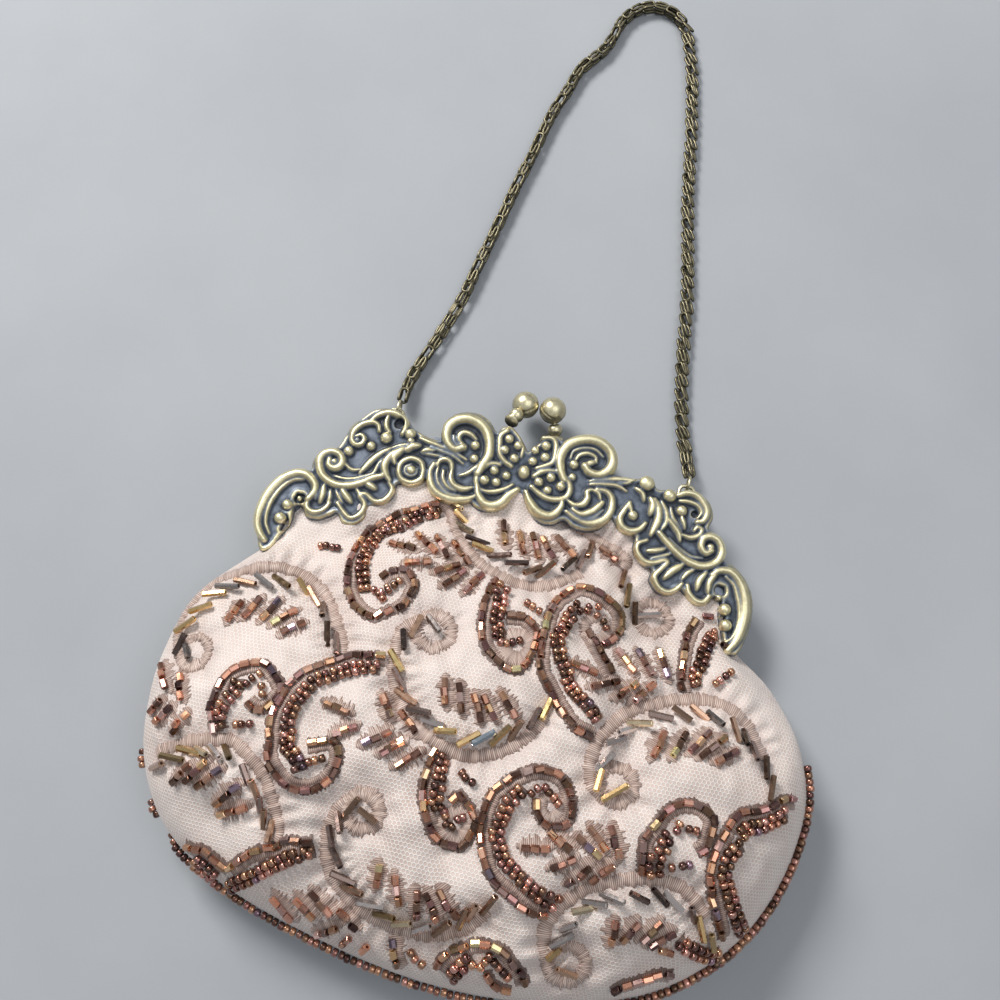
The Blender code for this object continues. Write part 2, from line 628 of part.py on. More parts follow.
def make_flap(purse, parts, carrier, fabric, lining):
    """The upper edge of the front panel, held in the front frame's channel."""
    tops = mirrored([frame_place(s) for s in FLAP_TOP_SHARES], frame_place(BACK_TOP_MIDDLE_SHARES))
    feet = mirrored([frame_place(s) for s in FLAP_FOOT_SHARES], frame_place(FLAP_FOOT_MIDDLE_SHARES))
    tops = by_station(smooth_path(tops, 6), FLAP_COLUMNS)
    feet = by_station(smooth_path(feet, 6), FLAP_COLUMNS)
    outer = fabric_grid("front_panel_upper", tops, feet, FLAP_ROWS, purse.front_height, 1)
    keep_place(add_fabric("front_panel_upper", outer, PANEL_THICKNESS, parts, fabric), carrier)
    inner = fabric_grid("front_lining_upper", tops, feet, FLAP_ROWS, purse.front_height, 1, LINING_DEPTH)
    keep_place(add_fabric("front_lining_upper", inner, LINING_THICKNESS, parts, lining), carrier)


def make_edging(purse, parts, beads):
    """The row of beads sewn round the side and bottom seam."""
    below = [point for point in purse.outline if point.y < EDGING_START]
    line = offset_path(below, -EDGING_OFFSET)
    points = [Vector((place.x, place.y, SEAM_Z)) for place in along(line, 44)]
    mesh = tube("bead_edging", points, EDGING_RADIUS, 0)
    shade_round(add_object("bead_edging", mesh, parts, beads))


def band_mesh(name, rings):
    """A closed band through rings of points, as a mesh."""
    shape = bmesh.new()
    rows = [[shape.verts.new(point) for point in ring] for ring in rings]
    for low, high in zip(rows, rows[1:]):
        for index in range(len(low)):
            after = (index + 1) % len(low)
            shape.faces.new((low[index], low[after], high[after], high[index]))
    shape.faces.new(reversed(rows[0]))
    shape.faces.new(rows[-1])
    bmesh.ops.recalc_face_normals(shape, faces=shape.faces)
    made = bpy.data.meshes.new(name)
    shape.to_mesh(made)
    shape.free()
    return made


def make_strands(purse, panel, parts, beads):
    """Each strand is a low crowned band that lies on the front panel, a little above its facets."""
    bpy.context.view_layer.update()
    graph = bpy.context.evaluated_depsgraph_get()
    ground = BVHTree.FromObject(panel, graph)
    for name, shares in STRAND_SHARES.items():
        line = smooth_path([body_place(share) for share in shares], 4)
        length = sum((b - a).length for a, b in zip(line, line[1:]))
        middle = along(line, max(4, round(length / STRAND_STEP) + 1))
        rows = []
        for path in (offset_path(middle, STRAND_HALF_WIDTH), middle, offset_path(middle, -STRAND_HALF_WIDTH)):
            above = [Vector((p.x, p.y, purse.front_height(p) + STRAND_HEIGHT)) for p in path]
            rows.append([ground.find_nearest(point)[:2] for point in above])
        rings = []
        for left, centre, right in zip(*rows):
            low = [spot + normal * STRAND_LIFT for spot, normal in (left, centre, right)]
            rises = ((right, STRAND_EDGE_HEIGHT), (centre, STRAND_HEIGHT), (left, STRAND_EDGE_HEIGHT))
            high = [spot + normal * (STRAND_LIFT + rise) for (spot, normal), rise in rises]
            rings.append(low + high)
        shade_round(add_object(name, band_mesh(name, rings), parts, beads))


def strip_outline(path, outer, inner):
    """The closed outline of a strip on both sides of a path."""
    return offset_path(path, outer) + list(reversed(offset_path(path, inner)))


def make_frame_half(name, purse, tab_x, parts, cutters, metal, extras=()):
    """One channel strip with its two hinge tabs, built about the frame's middle plane, open towards the purse."""
    strip = flat_outline(
        name, strip_outline(purse.arch, CHANNEL_HALF_WIDTH, -CHANNEL_HALF_WIDTH), HALF_PARTING, HALF_DEPTH
    )
    slot = flat_outline(
        f"{name}_slot",
        strip_outline(purse.arch, CHANNEL_HALF_WIDTH - CHANNEL_BACK, -CHANNEL_HALF_WIDTH - CUT_OVERRUN),
        HALF_PARTING + CHANNEL_WALL,
        HALF_PARTING + CHANNEL_WALL + SLOT_HEIGHT,
    )
    joined = collection_named(f"{name}_tabs", hidden=True)
    outside = collection_named(f"{name}_additions", hidden=True)
    holes = collection_named(f"{name}_holes", hidden=True)
    for side in (-1, 1):
        low_x, high_x = sorted((side * tab_x, side * (tab_x + TAB_THICKNESS)))
        eye = pin_mesh(f"{name}_tab_eye", (HINGE_Y, 0), TAB_RADIUS, low_x, high_x)
        add_cutter(f"{name}_tab_eye", eye, joined)
        arm = box_mesh(
            f"{name}_tab_arm",
            (low_x, HINGE_Y - TAB_FOOT, HALF_PARTING),
            (high_x, HINGE_Y + TAB_REACH, HALF_DEPTH),
        )
        add_cutter(f"{name}_tab_arm", arm, joined)
        hole = pin_mesh(
            f"{name}_hole", (HINGE_Y, 0), RIVET_RADIUS + FIT_GAP, low_x - CUT_OVERRUN / 2, high_x + CUT_OVERRUN / 2
        )
        add_cutter(f"{name}_hole", hole, holes)
    for index, extra in enumerate(extras):
        add_cutter(f"{name}_extra_{index}", extra, outside)
    made = add_object(name, strip, parts, metal)
    cutter = add_cutter(f"{name}_slot", slot, cutters)
    if extras:
        boolean(made, "UNION", outside)
    boolean(made, "DIFFERENCE", cutter)
    boolean(made, "UNION", joined)
    boolean(made, "DIFFERENCE", holes)
    for helper in (cutter, *outside.objects, *joined.objects, *holes.objects):
        helper.parent = made
    return made


def rear_extras():
    """The rear half's lugs that carry the chain's eyes, and its small flat leaves, seen from its own side."""
    extras = []
    middle = -(MID_Z - EYE_Z)
    for eye_x, eye_y in ((LEFT_EYE_X, LEFT_EYE_Y), (RIGHT_EYE_X, RIGHT_EYE_Y)):
        low = (-eye_x - LUG_HALF_WIDTH, LUG_ROOT_Y, -middle - LUG_HEIGHT / 2)
        high = (-eye_x + LUG_HALF_WIDTH, eye_y - EYE_REACH - FIT_GAP, -middle + LUG_HEIGHT / 2)
        extras.append(box_mesh("lug", low, high))
    for side in (-1, 1):
        places = [frame_place((side * share[0], share[1])) for share in REAR_LEAF_SHARES]
        level = HALF_PARTING + CHANNEL_WALL
        extras.append(flat_outline("rear_leaf", places, level, level + SLOT_HEIGHT))
    return extras


def ornament_mesh(bands, fine_bands, studs):
    """The cast ornament of one half: a cut-out plate with raised bands, studs and knobs, about the middle plane."""
    right = PLATE_TOP_SHARES[1:] + PLATE_RIGHT_SHARES + PLATE_END_SHARES
    left = PLATE_TOP_SHARES[1:] + PLATE_LEFT_SHARES + PLATE_END_SHARES
    outline = [PLATE_TOP_SHARES[0], *right, (0, PLATE_NOTCH_SHARE)]
    outline += [(-x, y) for x, y in reversed(left)]
    scratch = collection_named("ornament_relief", hidden=True)
    plate = flat_outline("ornament", [frame_place(s) for s in outline], PLATE_BASE, PLATE_TOP)
    level = PLATE_TOP - STROKE_SINK
    both = (-1, 1)
    groups = (
        (bands, both, STROKE_RADIUS),
        (fine_bands, both, FINE_STROKE_RADIUS),
        (RIGHT_BAND_SHARES, (1,), STROKE_RADIUS),
        (LEFT_BAND_SHARES, (-1,), STROKE_RADIUS),
    )
    for shapes, sides, radius in groups:
        for shares in shapes:
            for side in sides:
                add_band(shares, side, radius, level, scratch)
    for side in both:
        for shares in studs:
            add_stud(shares, side, STUD_RADIUS, level, scratch)
        for shares in KNOB_SHARES:
            add_stud(shares, side, KNOB_RADIUS, level, scratch)
        add_medallion(side, level, scratch)
    centre = frame_place(OVAL_SHARES)
    oval = ball_mesh("oval", (centre.x, centre.y, level), STUD_RADIUS, 8, 6, OVAL_LENGTH / STUD_RADIUS)
    add_cutter("oval", oval, scratch)
    holder = bpy.data.objects.new("ornament", plate)
    bpy.context.scene.collection.objects.link(holder)
    boolean(holder, "UNION", scratch)
    bpy.context.view_layer.update()
    mesh = bpy.data.meshes.new_from_object(holder.evaluated_get(bpy.context.evaluated_depsgraph_get()))
    bpy.data.objects.remove(holder)
    mesh.transform(Matrix.Translation((0, -HINGE_Y, 0)))
    return mesh


def add_band(shares, side, radius, level, collection):
    places = [frame_place((side * share[0], share[1])) for share in shares]
    points = [Vector((place.x, place.y, level)) for place in places]
    last = len(points) - 1
    tapers = [0.6 + 0.4 * math.sin(math.pi * index / last) for index in range(last + 1)]
    add_cutter("band", tube("band", points, radius, 0, tapers), collection)


def add_stud(shares, side, radius, level, collection):
    place = frame_place((side * shares[0], shares[1]))
    add_cutter("stud", ball_mesh("stud", (place.x, place.y, level), radius, 6, 4), collection)


def add_medallion(side, level, collection):
    place = frame_place((side * MEDALLION_SHARES[0], MEDALLION_SHARES[1]))
    ring = ring_mesh("medallion", MEDALLION_RADIUS, FINE_STROKE_RADIUS, 12, 4)
    ring.transform(Matrix.Translation((place.x, place.y, level)) @ Matrix.Rotation(math.radians(90), 4, "Y"))
    add_cutter("medallion", ring, collection)


def make_ornaments(parts, carrier, cast):
    """Front and rear ornament share one outline, mirrored for the rear, which has fewer raised bands."""
    front = add_object("front_filigree", ornament_mesh(BAND_SHARES, FINE_BAND_SHARES, STUD_SHARES), parts, cast)
    front.parent = carrier
    rear_mesh = ornament_mesh(BAND_SHARES[REAR_BANDS_FROM:], (), ())
    rear_mesh.transform(Matrix.Scale(-1, 4, (0, 0, 1)))
    rear_mesh.flip_normals()
    rear = add_object("rear_filigree", rear_mesh, parts, cast)
    rear.location = (0, HINGE_Y, MID_Z)


def turn_to_rear(made):
    made.location = (0, 0, MID_Z)
    made.rotation_euler = (0, math.pi, 0)


def make_cords(purse, parts, carrier, paper):
    """The paper cords that jam the fabric in both channels."""
    line = along(offset_path(purse.arch, CORD_SEAT), 24, CORD_END_SHARE, 1 - CORD_END_SHARE)
    middle = HALF_PARTING + CHANNEL_WALL + SLOT_HEIGHT / 2
    front = add_object(
        "front_channel_cord",
        tube("front_channel_cord", [Vector((p.x, p.y, MID_Z + middle)) for p in line], CORD_RADIUS, 0),
        parts,
        paper,
    )
    keep_place(front, carrier)
    add_object(
        "rear_channel_cord",
        tube("rear_channel_cord", [Vector((p.x, p.y, MID_Z - middle)) for p in line], CORD_RADIUS, 0),
        parts,
        paper,
    )


def make_rivets(parts, steel):
    inner = TAB_INNER_X - FIT_GAP - RIVET_HEAD
    outer = TAB_INNER_X + 2 * TAB_THICKNESS + 2 * FIT_GAP + RIVET_HEAD
    head = RIVET_HEAD / (outer - inner)
    profile = (
        (0, 0), (RIVET_HEAD_RADIUS, 0), (RIVET_HEAD_RADIUS, head), (RIVET_RADIUS, head),
        (RIVET_RADIUS, 1 - head), (RIVET_HEAD_RADIUS, 1 - head), (RIVET_HEAD_RADIUS, 1), (0, 1),
    )
    for name, side in (("hinge_rivet_left", -1), ("hinge_rivet_right", 1)):
        foot = Vector((side * inner, HINGE_Y, MID_Z))
        tip = Vector((side * outer, HINGE_Y, MID_Z))
        turned_object(name, profile, foot, tip, parts, steel)


def make_clasp(parts, carrier, metal):
    """Front arm and ball on the left, rear ones on the right, side by side with a small gap."""
    ball_x = BALL_RADIUS + BALL_GAP / 2
    for half, side in (("front", -1), ("rear", 1)):
        ball_centre = Vector((side * ball_x, BALL_Y, MID_Z))
        foot = Vector((side * ARM_FOOT_X, ARM_FOOT_Y, MID_Z - side * ARM_FOOT_DROP))
        away = (ball_centre - foot).normalized()
        tip = ball_centre - away * (BALL_RADIUS + FIT_GAP)
        length = (tip - foot).length
        bead = BEAD_RADIUS / length
        middle = 0.5
        profile = (
            (0, 0), (COLLAR_RADIUS, 0), (COLLAR_RADIUS, middle - 0.8 * bead), (BEAD_RADIUS, middle),
            (NECK_RADIUS, middle + 0.9 * bead), (NECK_RADIUS, 1), (0, 1),
        )
        arm = turned_object(f"{half}_clasp_arm", profile, foot, tip, parts, metal)
        ball = add_object(
            f"{half}_clasp_ball", ball_mesh(f"{half}_clasp_ball", (0, 0, 0), BALL_RADIUS, 14, 8), parts, metal
        )
        ball.location = ball_centre
        shade_round(ball)
        if half == "front":
            bpy.context.view_layer.update()
            keep_place(arm, carrier)
            keep_place(ball, carrier)


def eye_frame():
    """The turn about Z that lines both eyes up with the line through them."""
    turn = math.atan2(RIGHT_EYE_Y - LEFT_EYE_Y, RIGHT_EYE_X - LEFT_EYE_X)
    return turn, (
        ("left", Vector((LEFT_EYE_X, LEFT_EYE_Y, EYE_Z))),
        ("right", Vector((RIGHT_EYE_X, RIGHT_EYE_Y, EYE_Z))),
    )


def make_eyes_and_rings(parts, carrier, metal):
    turn, eyes = eye_frame()
    dip = math.radians(CHAIN_DIP)
    inner = RING_RADIUS - RING_WIRE_RADIUS - EYE_WIRE_RADIUS - FIT_GAP
    for side, place in eyes:
        w, r, c = EYE_HALF_WIDTH, EYE_REACH, EYE_CORNER
        points = [
            Vector(p) for p in ((-w, -r, 0), (-w, -c, 0), (c - w, 0, 0), (w - c, 0, 0), (w, -c, 0), (w, -r, 0))
        ]
        name = f"chain_eye_{side}"
        eye = add_object(name, tube(name, points, EYE_WIRE_RADIUS, 2), parts, metal)
        eye.location = place
        eye.rotation_euler = (0, 0, turn)
        name = f"jump_ring_{side}"
        ring = add_object(name, ring_mesh(name, RING_RADIUS, RING_WIRE_RADIUS), parts, metal)
        forward = Matrix.Rotation(turn, 3, "Z") @ Vector((0, math.cos(dip), -math.sin(dip)))
        ring.location = place + forward * inner
        ring.rotation_euler = (0, 0, turn)
        shade_round(ring)
        bpy.context.view_layer.update()
        keep_place(ring, carrier)


def make_chain(parts, carrier, metal):
    turn, eyes = eye_frame()
    dip = math.radians(CHAIN_DIP)
    reach = 2 * RING_RADIUS - EYE_WIRE_RADIUS
    forward = Matrix.Rotation(turn, 3, "Z") @ Vector((0, math.cos(dip), -math.sin(dip)))
    start = eyes[0][1] + forward * reach
    end = eyes[1][1] + forward * reach
    route = smooth_path([start, *[Vector(point) for point in CHAIN_ROUTE], end], 6)
    points = along(route, CHAIN_POINTS)
    chain = add_object("handle_chain", tube("handle_chain", points, CHAIN_RADIUS, 2), parts, metal)
    shade_round(chain)
    keep_place(chain, carrier)


def make_carriers(parts):
    """Empties on the axes of the two joints."""
    hinge = bpy.data.objects.new("front_frame_hinge", None)
    hinge.location = (0, HINGE_Y, MID_Z)
    swing = bpy.data.objects.new("chain_swing", None)
    swing.location = (LEFT_EYE_X, LEFT_EYE_Y, EYE_Z)
    for empty in (hinge, swing):
        parts.objects.link(empty)
    bpy.context.view_layer.update()
    return hinge, swing


def main():
    clear_scene()
    parts = collection_named("beaded_clutch")
    cutters = collection_named("cutters", hidden=True)
    cast = material_of("antique_brass", (0.52, 0.47, 0.33), 0.35, 0.9)
    strip = material_of("patinated_brass", (0.23, 0.26, 0.32), 0.4, 0.8)
    wire = material_of("dull_brass", (0.21, 0.2, 0.13), 0.4, 0.9)
    fabric = material_of("netted_satin", (0.8, 0.7, 0.65), 0.6)
    lining = material_of("lining_satin", (0.78, 0.7, 0.66), 0.5)
    beads = material_of("bronze_beads", (0.3, 0.17, 0.13), 0.25, 0.7)
    paper = material_of("paper_cord", (0.6, 0.52, 0.4), 0.9)
    steel = material_of("rivet_brass", (0.4, 0.36, 0.25), 0.35, 0.9)
    purse = Purse()
    hinge, swing = make_carriers(parts)
    front = make_frame_half("front_frame", purse, TAB_INNER_X, parts, cutters, strip)
    front.location = (0, 0, MID_Z)
    bpy.context.view_layer.update()
    keep_place(front, hinge)
    rear_tab_x = TAB_INNER_X + TAB_THICKNESS + FIT_GAP
    rear = make_frame_half("rear_frame", purse, rear_tab_x, parts, cutters, strip, rear_extras())
    turn_to_rear(rear)
    make_ornaments(parts, hinge, cast)
    make_cords(purse, parts, hinge, paper)
    make_rivets(parts, steel)
    make_clasp(parts, hinge, cast)
    make_eyes_and_rings(parts, swing, wire)
    make_chain(parts, swing, wire)
    front_lines = panel_lines(
        purse, FRONT_END_SHARE, FRONT_TOP_SHARES, FRONT_TOP_MIDDLE_SHARES, FRONT_FOOT_SHARES
    )
    panel = make_panel("front", front_lines, FRONT_ROWS, purse.front_height, 1, parts, fabric, lining)
    back_lines = panel_lines(purse, BACK_END_SHARE, BACK_TOP_SHARES, BACK_TOP_MIDDLE_SHARES, BACK_FOOT_SHARES)
    make_panel("back", back_lines, BACK_ROWS, purse.back_height, -1, parts, fabric, lining)
    make_flap(purse, parts, hinge, fabric, lining)
    make_edging(purse, parts, beads)
    make_strands(purse, panel, parts, beads)


main()
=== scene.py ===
"""A beaded evening clutch lying on its back.

Satin under net with beadwork, a cast scrollwork frame that opens on its end rivets, and a link chain.
"""

import math

import bpy
import numpy as np
from mathutils import Matrix, Vector


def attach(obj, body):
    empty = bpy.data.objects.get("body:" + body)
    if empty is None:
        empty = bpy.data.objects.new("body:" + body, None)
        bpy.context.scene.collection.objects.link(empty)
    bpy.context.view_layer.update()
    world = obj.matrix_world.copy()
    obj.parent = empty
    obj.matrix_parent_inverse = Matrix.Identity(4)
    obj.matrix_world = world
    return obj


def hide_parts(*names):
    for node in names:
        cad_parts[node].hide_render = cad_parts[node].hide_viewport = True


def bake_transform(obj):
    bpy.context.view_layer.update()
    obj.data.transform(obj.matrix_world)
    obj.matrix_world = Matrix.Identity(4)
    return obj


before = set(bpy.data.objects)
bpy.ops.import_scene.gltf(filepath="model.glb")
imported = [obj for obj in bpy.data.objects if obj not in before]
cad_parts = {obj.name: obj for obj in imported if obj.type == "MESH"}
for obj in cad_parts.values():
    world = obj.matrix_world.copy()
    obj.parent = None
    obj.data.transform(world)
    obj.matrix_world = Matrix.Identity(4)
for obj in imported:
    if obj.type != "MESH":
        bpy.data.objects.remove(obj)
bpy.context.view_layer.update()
rng = np.random.default_rng(7)

# Lengths below are in millimetres unless they are named otherwise, and become metres when a mesh is made.
METRE = 0.001
UPWARD = (0.0, 0.0, 1.0)
FAR_OFF = 1e9

# The camera: its picture and focal length in pixels, how it is turned, how far it stands and what it looks at.
PICTURE_SIDE = 1000
FOCAL_PIXELS = 1000.0
SENSOR_SIDE = 36
CAMERA_RANGE_METRES = (0.01, 20)
CAMERA_TILT = math.radians(16)
CAMERA_TURN = math.radians(12.7)
CAMERA_DISTANCE = 340.0
CAMERA_AIM = np.array((-6.4, 65.0, 0.0))

# The purse's main measures: levels over the ground, the frame's width and rise, and the front's crown.
MID_Z = 9.0
HINGE_Y = 28.5
FRAME_HALF_WIDTH = 80.0
ARCH_RISE = 60.0
BODY_HEIGHT = 38.0
SEAM_Z = 14.0
HINGE_SEAM_Z = 9.0
PANEL_LEVEL = 3.2
PLATE_BASE_Z = 13.4
PLATE_TOP_Z = 15.5
BAG_CENTRE = np.array((3.0, -8.0))

ARCH = ((0.95, 0.06), (0.93, 0.215), (0.845, 0.385), (0.7, 0.535), (0.5, 0.66), (0.25, 0.73))
ARCH_TOP = (0, 0.75)
BODY_OUTLINE = (
    (-77.6, 29.5), (-87, 19), (-92.8, 9), (-96.2, -5), (-96.9, -22), (-92.5, -42), (-79.5, -60), (-57.5, -71.5),
    (-28.5, -79), (3.5, -83.5), (35.5, -82), (65.5, -73.5), (86.5, -58), (99, -38), (104.4, -14), (100.5, 4),
    (90.5, 20), (78.5, 29),
)
CROWN_ARCH_REACH = 66.0
FRAME_BAND = 19
BACK_BAND = 21.0
CROWN_REACH = 75
EDGE_REACH = 45
# Cloth that stands up beside the frame's ends: rise, place, and reach across and along.
SHOULDERS = ((6.5, -71, 24, 12, 8), (5.0, 74, 22, 10, 7))

# How the front's cloth is drawn in at its stitching, stands between it and folds below the frame.
EDGE_HOLD = 9
PUFF_HEIGHT = 2.2
PUFF_REACH = 4.8
PUFF_DROP = 1.25
PUCKER_HEIGHT = 0.62
PUCKER_LENGTH = 4.6
PUCKER_PLACE = 4.0
PUCKER_REACH = 3.4
CURL_PUCKER_HEIGHT = 0.48
FOLD_HEIGHT = 0.55
FOLD_LENGTH = 8.5
LINING_DROP = 1.5
WAVES = 26
NET_CELL = 1.25

# The chain as it is laid out, its eyes and its rings.
CHAIN_ROUTE = (
    (-46.6, 96, 3.6), (-45.6, 103, 2.2), (-40.4, 119, 2.1), (-36, 134, 2.1), (-33.1, 150, 2.1), (-29.7, 168, 2.1),
    (-26.9, 184, 2.1), (-23.6, 200, 2.1), (-20.5, 217, 2.1), (-16.8, 229, 2.1), (-14.2, 238.5, 2.1),
    (-10.6, 244.5, 2.1), (-6.9, 250, 2.1), (-4.6, 256, 2.1), (-2.6, 264, 2.1), (1.4, 270.5, 2.1), (7, 274, 2.1),
    (12.4, 274.2, 2.1), (18.2, 271.8, 2.1), (22.9, 266, 2.1), (25.3, 258, 2.1), (28, 248.5, 2.1), (30.3, 235, 2.1),
    (32.9, 218, 2.1), (36.1, 192, 2.1), (39.6, 171.5, 2.1), (42.7, 152, 2.1), (44.3, 136, 2.1), (46.4, 119, 2.1),
    (49, 105, 2.1), (51.4, 96, 2.4), (53, 90.5, 3.6),
)
LEFT_EYE = np.array((-47, 86.6, 6.6))
RIGHT_EYE = np.array((54.2, 81.4, 6.6))
EYE_HALF_WIDTH = 2.4
EYE_LEGS = 3.5
EYE_WIRE = 0.6
RING_RADIUS = 2.5
RING_WIRE = 0.5
CHAIN_DIP = math.radians(20)
LINK_PITCH = 4.8
LINK_HALF_LENGTH = 3.05
LINK_BEND = 0.62
LINK_WIRE = 0.5
LINK_LEVEL = 1.25
LINK_PLAY = 0.14
CHAIN_SAMPLES = 400
GROUND_GAP = 0.02
# Where along the chain its links are turned by an eighth, on its left and right legs, and how far the right ones lean.
LEFT_SLANT_START = 20
LEFT_SLANT_END = 44
RIGHT_SLANT_START = 205
LINK_LEAN = -0.3

# The clasp's balls and arms, and the cords in the frame's channels.
BALL_RADIUS = 4.55
ARM_BEAD = 2.55
ARM_COLLAR = ((0, 0), (0, 2.3), (0.5, 2.55), (0.9, 2.2), (1.1, 1.6), (1.3, 2.0), (1.6, 2.1), (1.9, 1.5))
PLY_RADIUS = 0.42
PLY_PLACE = 0.36
PLY_TWIST = 3.2

# Beads and threads.
SEED_RADIUS = 1.24
SEED_LENGTH = 1.75
TUBE_RADIUS = 1.05
TUBE_LENGTH = 2.75
BUGLE_RADIUS = 0.98
ROW_SPACING = 1.05
SEED_SIZE = np.array((SEED_LENGTH, SEED_RADIUS, SEED_RADIUS))
THREAD_SPACING = 0.28
BROAD_ARC = 1.85
THIN_ARC = 1.5
# The edging's rows: how far out and how high they lie, and from where across the purse.
EDGING_PITCH = 1.95
EDGING_ROWS = ((1.4, SEAM_Z - 0.1, -200), (0.9, SEAM_Z + 1.75, 52))
# Where the edging peeps out past the left side and where it comes out from under the purse, in pixels.
EDGING_PEEPS = ((146, 757), (157, 806))
EDGING_START = (186, 854)

# Colours.
# The cast's tones: near black in the narrow grooves is painted shade, slate is its patina, and olive to cream its
# rubbed brass.
CAST_TONES = (
    (0.0, (0.022, 0.027, 0.036)), (0.16, (0.078, 0.097, 0.132)), (0.34, (0.185, 0.215, 0.265)),
    (0.5, (0.36, 0.35, 0.28)), (0.66, (0.68, 0.60, 0.37)), (0.86, (0.95, 0.87, 0.57)),
)
CAST_SHADE = (0.08, 0.095, 0.12)
COPPERS = np.array((
    (0.54, 0.26, 0.17), (0.38, 0.19, 0.14), (0.68, 0.38, 0.23), (0.30, 0.15, 0.14), (0.60, 0.38, 0.34),
    (0.46, 0.26, 0.18), (0.74, 0.48, 0.26), (0.27, 0.20, 0.26), (0.60, 0.32, 0.19),
))
COPPER_ODDS = (0.2, 0.18, 0.13, 0.12, 0.1, 0.12, 0.06, 0.02, 0.07)
SEED_TINTS = np.array((
    (0.40, 0.19, 0.13), (0.48, 0.26, 0.16), (0.29, 0.135, 0.115), (0.52, 0.27, 0.22), (0.28, 0.18, 0.22),
))
SEED_ODDS = (0.35, 0.3, 0.18, 0.15, 0.02)
# The bugles' tints: gold, brown, dark, silver, pale and blue.
BUGLE_TINTS = {
    "g": (0.60, 0.41, 0.19), "b": (0.40, 0.25, 0.17), "d": (0.24, 0.17, 0.15), "s": (0.48, 0.43, 0.41),
    "p": (0.60, 0.49, 0.33), "u": (0.33, 0.38, 0.43),
}
SKY_LOW = (0.42, 0.43, 0.445)
SKY_HIGH = (0.86, 0.89, 0.93)
SKY_STRENGTH = 0.44

# Where each line of stitching and beads lies on the front, in pixels of the picture, across and down in turn.
# A curl has its middle and its outer and inner reach, a bugle its ends and tint, a spray its ends and bead count.
STITCHED_ARCS = {
    "lobe": (403.2, 628.2, 395.2, 651.4, 393.4, 676.4, 399.6, 699.6, 413.9, 724.6, 438.9, 744.3, 465.7, 755, 494.3,
        753.2, 521.1, 740.7, 537.1, 724.6, 546.1, 710.4),
    "top_lobe": (443.4, 501.4, 451.4, 515.7, 456.8, 531.8, 469.3, 551.4, 480, 563, 496.1, 572.9, 512.1, 580.9, 531.8,
        585.4, 551.4, 583.6, 569.3, 577.3, 581.8, 572),
    "top_thread": (569.3, 518.4, 585.4, 531.8, 599.6, 540.7, 619.3, 551.4, 628.2, 560.4, 622.9, 569.3),
    "left_arch": (176.9, 642.6, 180.7, 619.7, 195.1, 598.6, 214.2, 581.4, 237.1, 571.8, 263.9, 567.1, 288.8, 569,
        309.8, 579.5, 325.2, 594.8, 334.7, 617.8, 340.5, 638.8, 341.4, 654.1),
    "lower_left_arch": (155.7, 754.7, 166.4, 748.1, 186.3, 742.3, 206.2, 739, 226.1, 739.8, 239.4, 746.4, 252.7,
        761.4, 264.3, 777.9, 270.9, 797.8, 275, 816.1, 277.5, 832.7, 274.2, 840.9),
    "right_arch": (596.1, 790.7, 589.8, 769.3, 596.1, 746.1, 606.8, 730, 622.9, 715.7, 642.5, 706.8, 665.7, 701.4,
        690.7, 698.8, 713.9, 701.4, 733.6, 711.2, 749.6, 726.4, 758.6, 744.3, 764.8, 758.6),
    "lower_right_arch": (545.4, 956.4, 544.5, 931.4, 556.1, 911.8, 572.1, 897.5, 591.8, 886.8, 615, 881.4, 640, 879.6,
        665, 881.4, 684.6, 890.4, 697.1, 902.9, 706.1, 917.1),
    "lower_lobe": (339.6, 805.7, 329.8, 823.6, 325.4, 848.6, 328, 868.2, 339.6, 889.6, 359.3, 909.3, 382.5, 923.6,
        405.7, 932.5, 430.7, 936.1, 455.7, 932.5, 475.4, 921.8, 486.1, 909.3),
}
STITCHED_CURLS = (
    (433.6, 630, 22.9, 8.9), (653.2, 617.5, 20, 8.2), (193.1, 652.2, 18.2, 8), (616.6, 784.5, 22.9, 8.9),
    (566.8, 965.4, 24.6, 10.4), (362, 811.1, 23.6, 7.9), (517.5, 646.1, 20, 3.9), (455.7, 825.4, 19.3, 3.9),
    (550.4, 807.5, 15.2, 3.9), (597, 628.2, 16.1, 4.6),
)
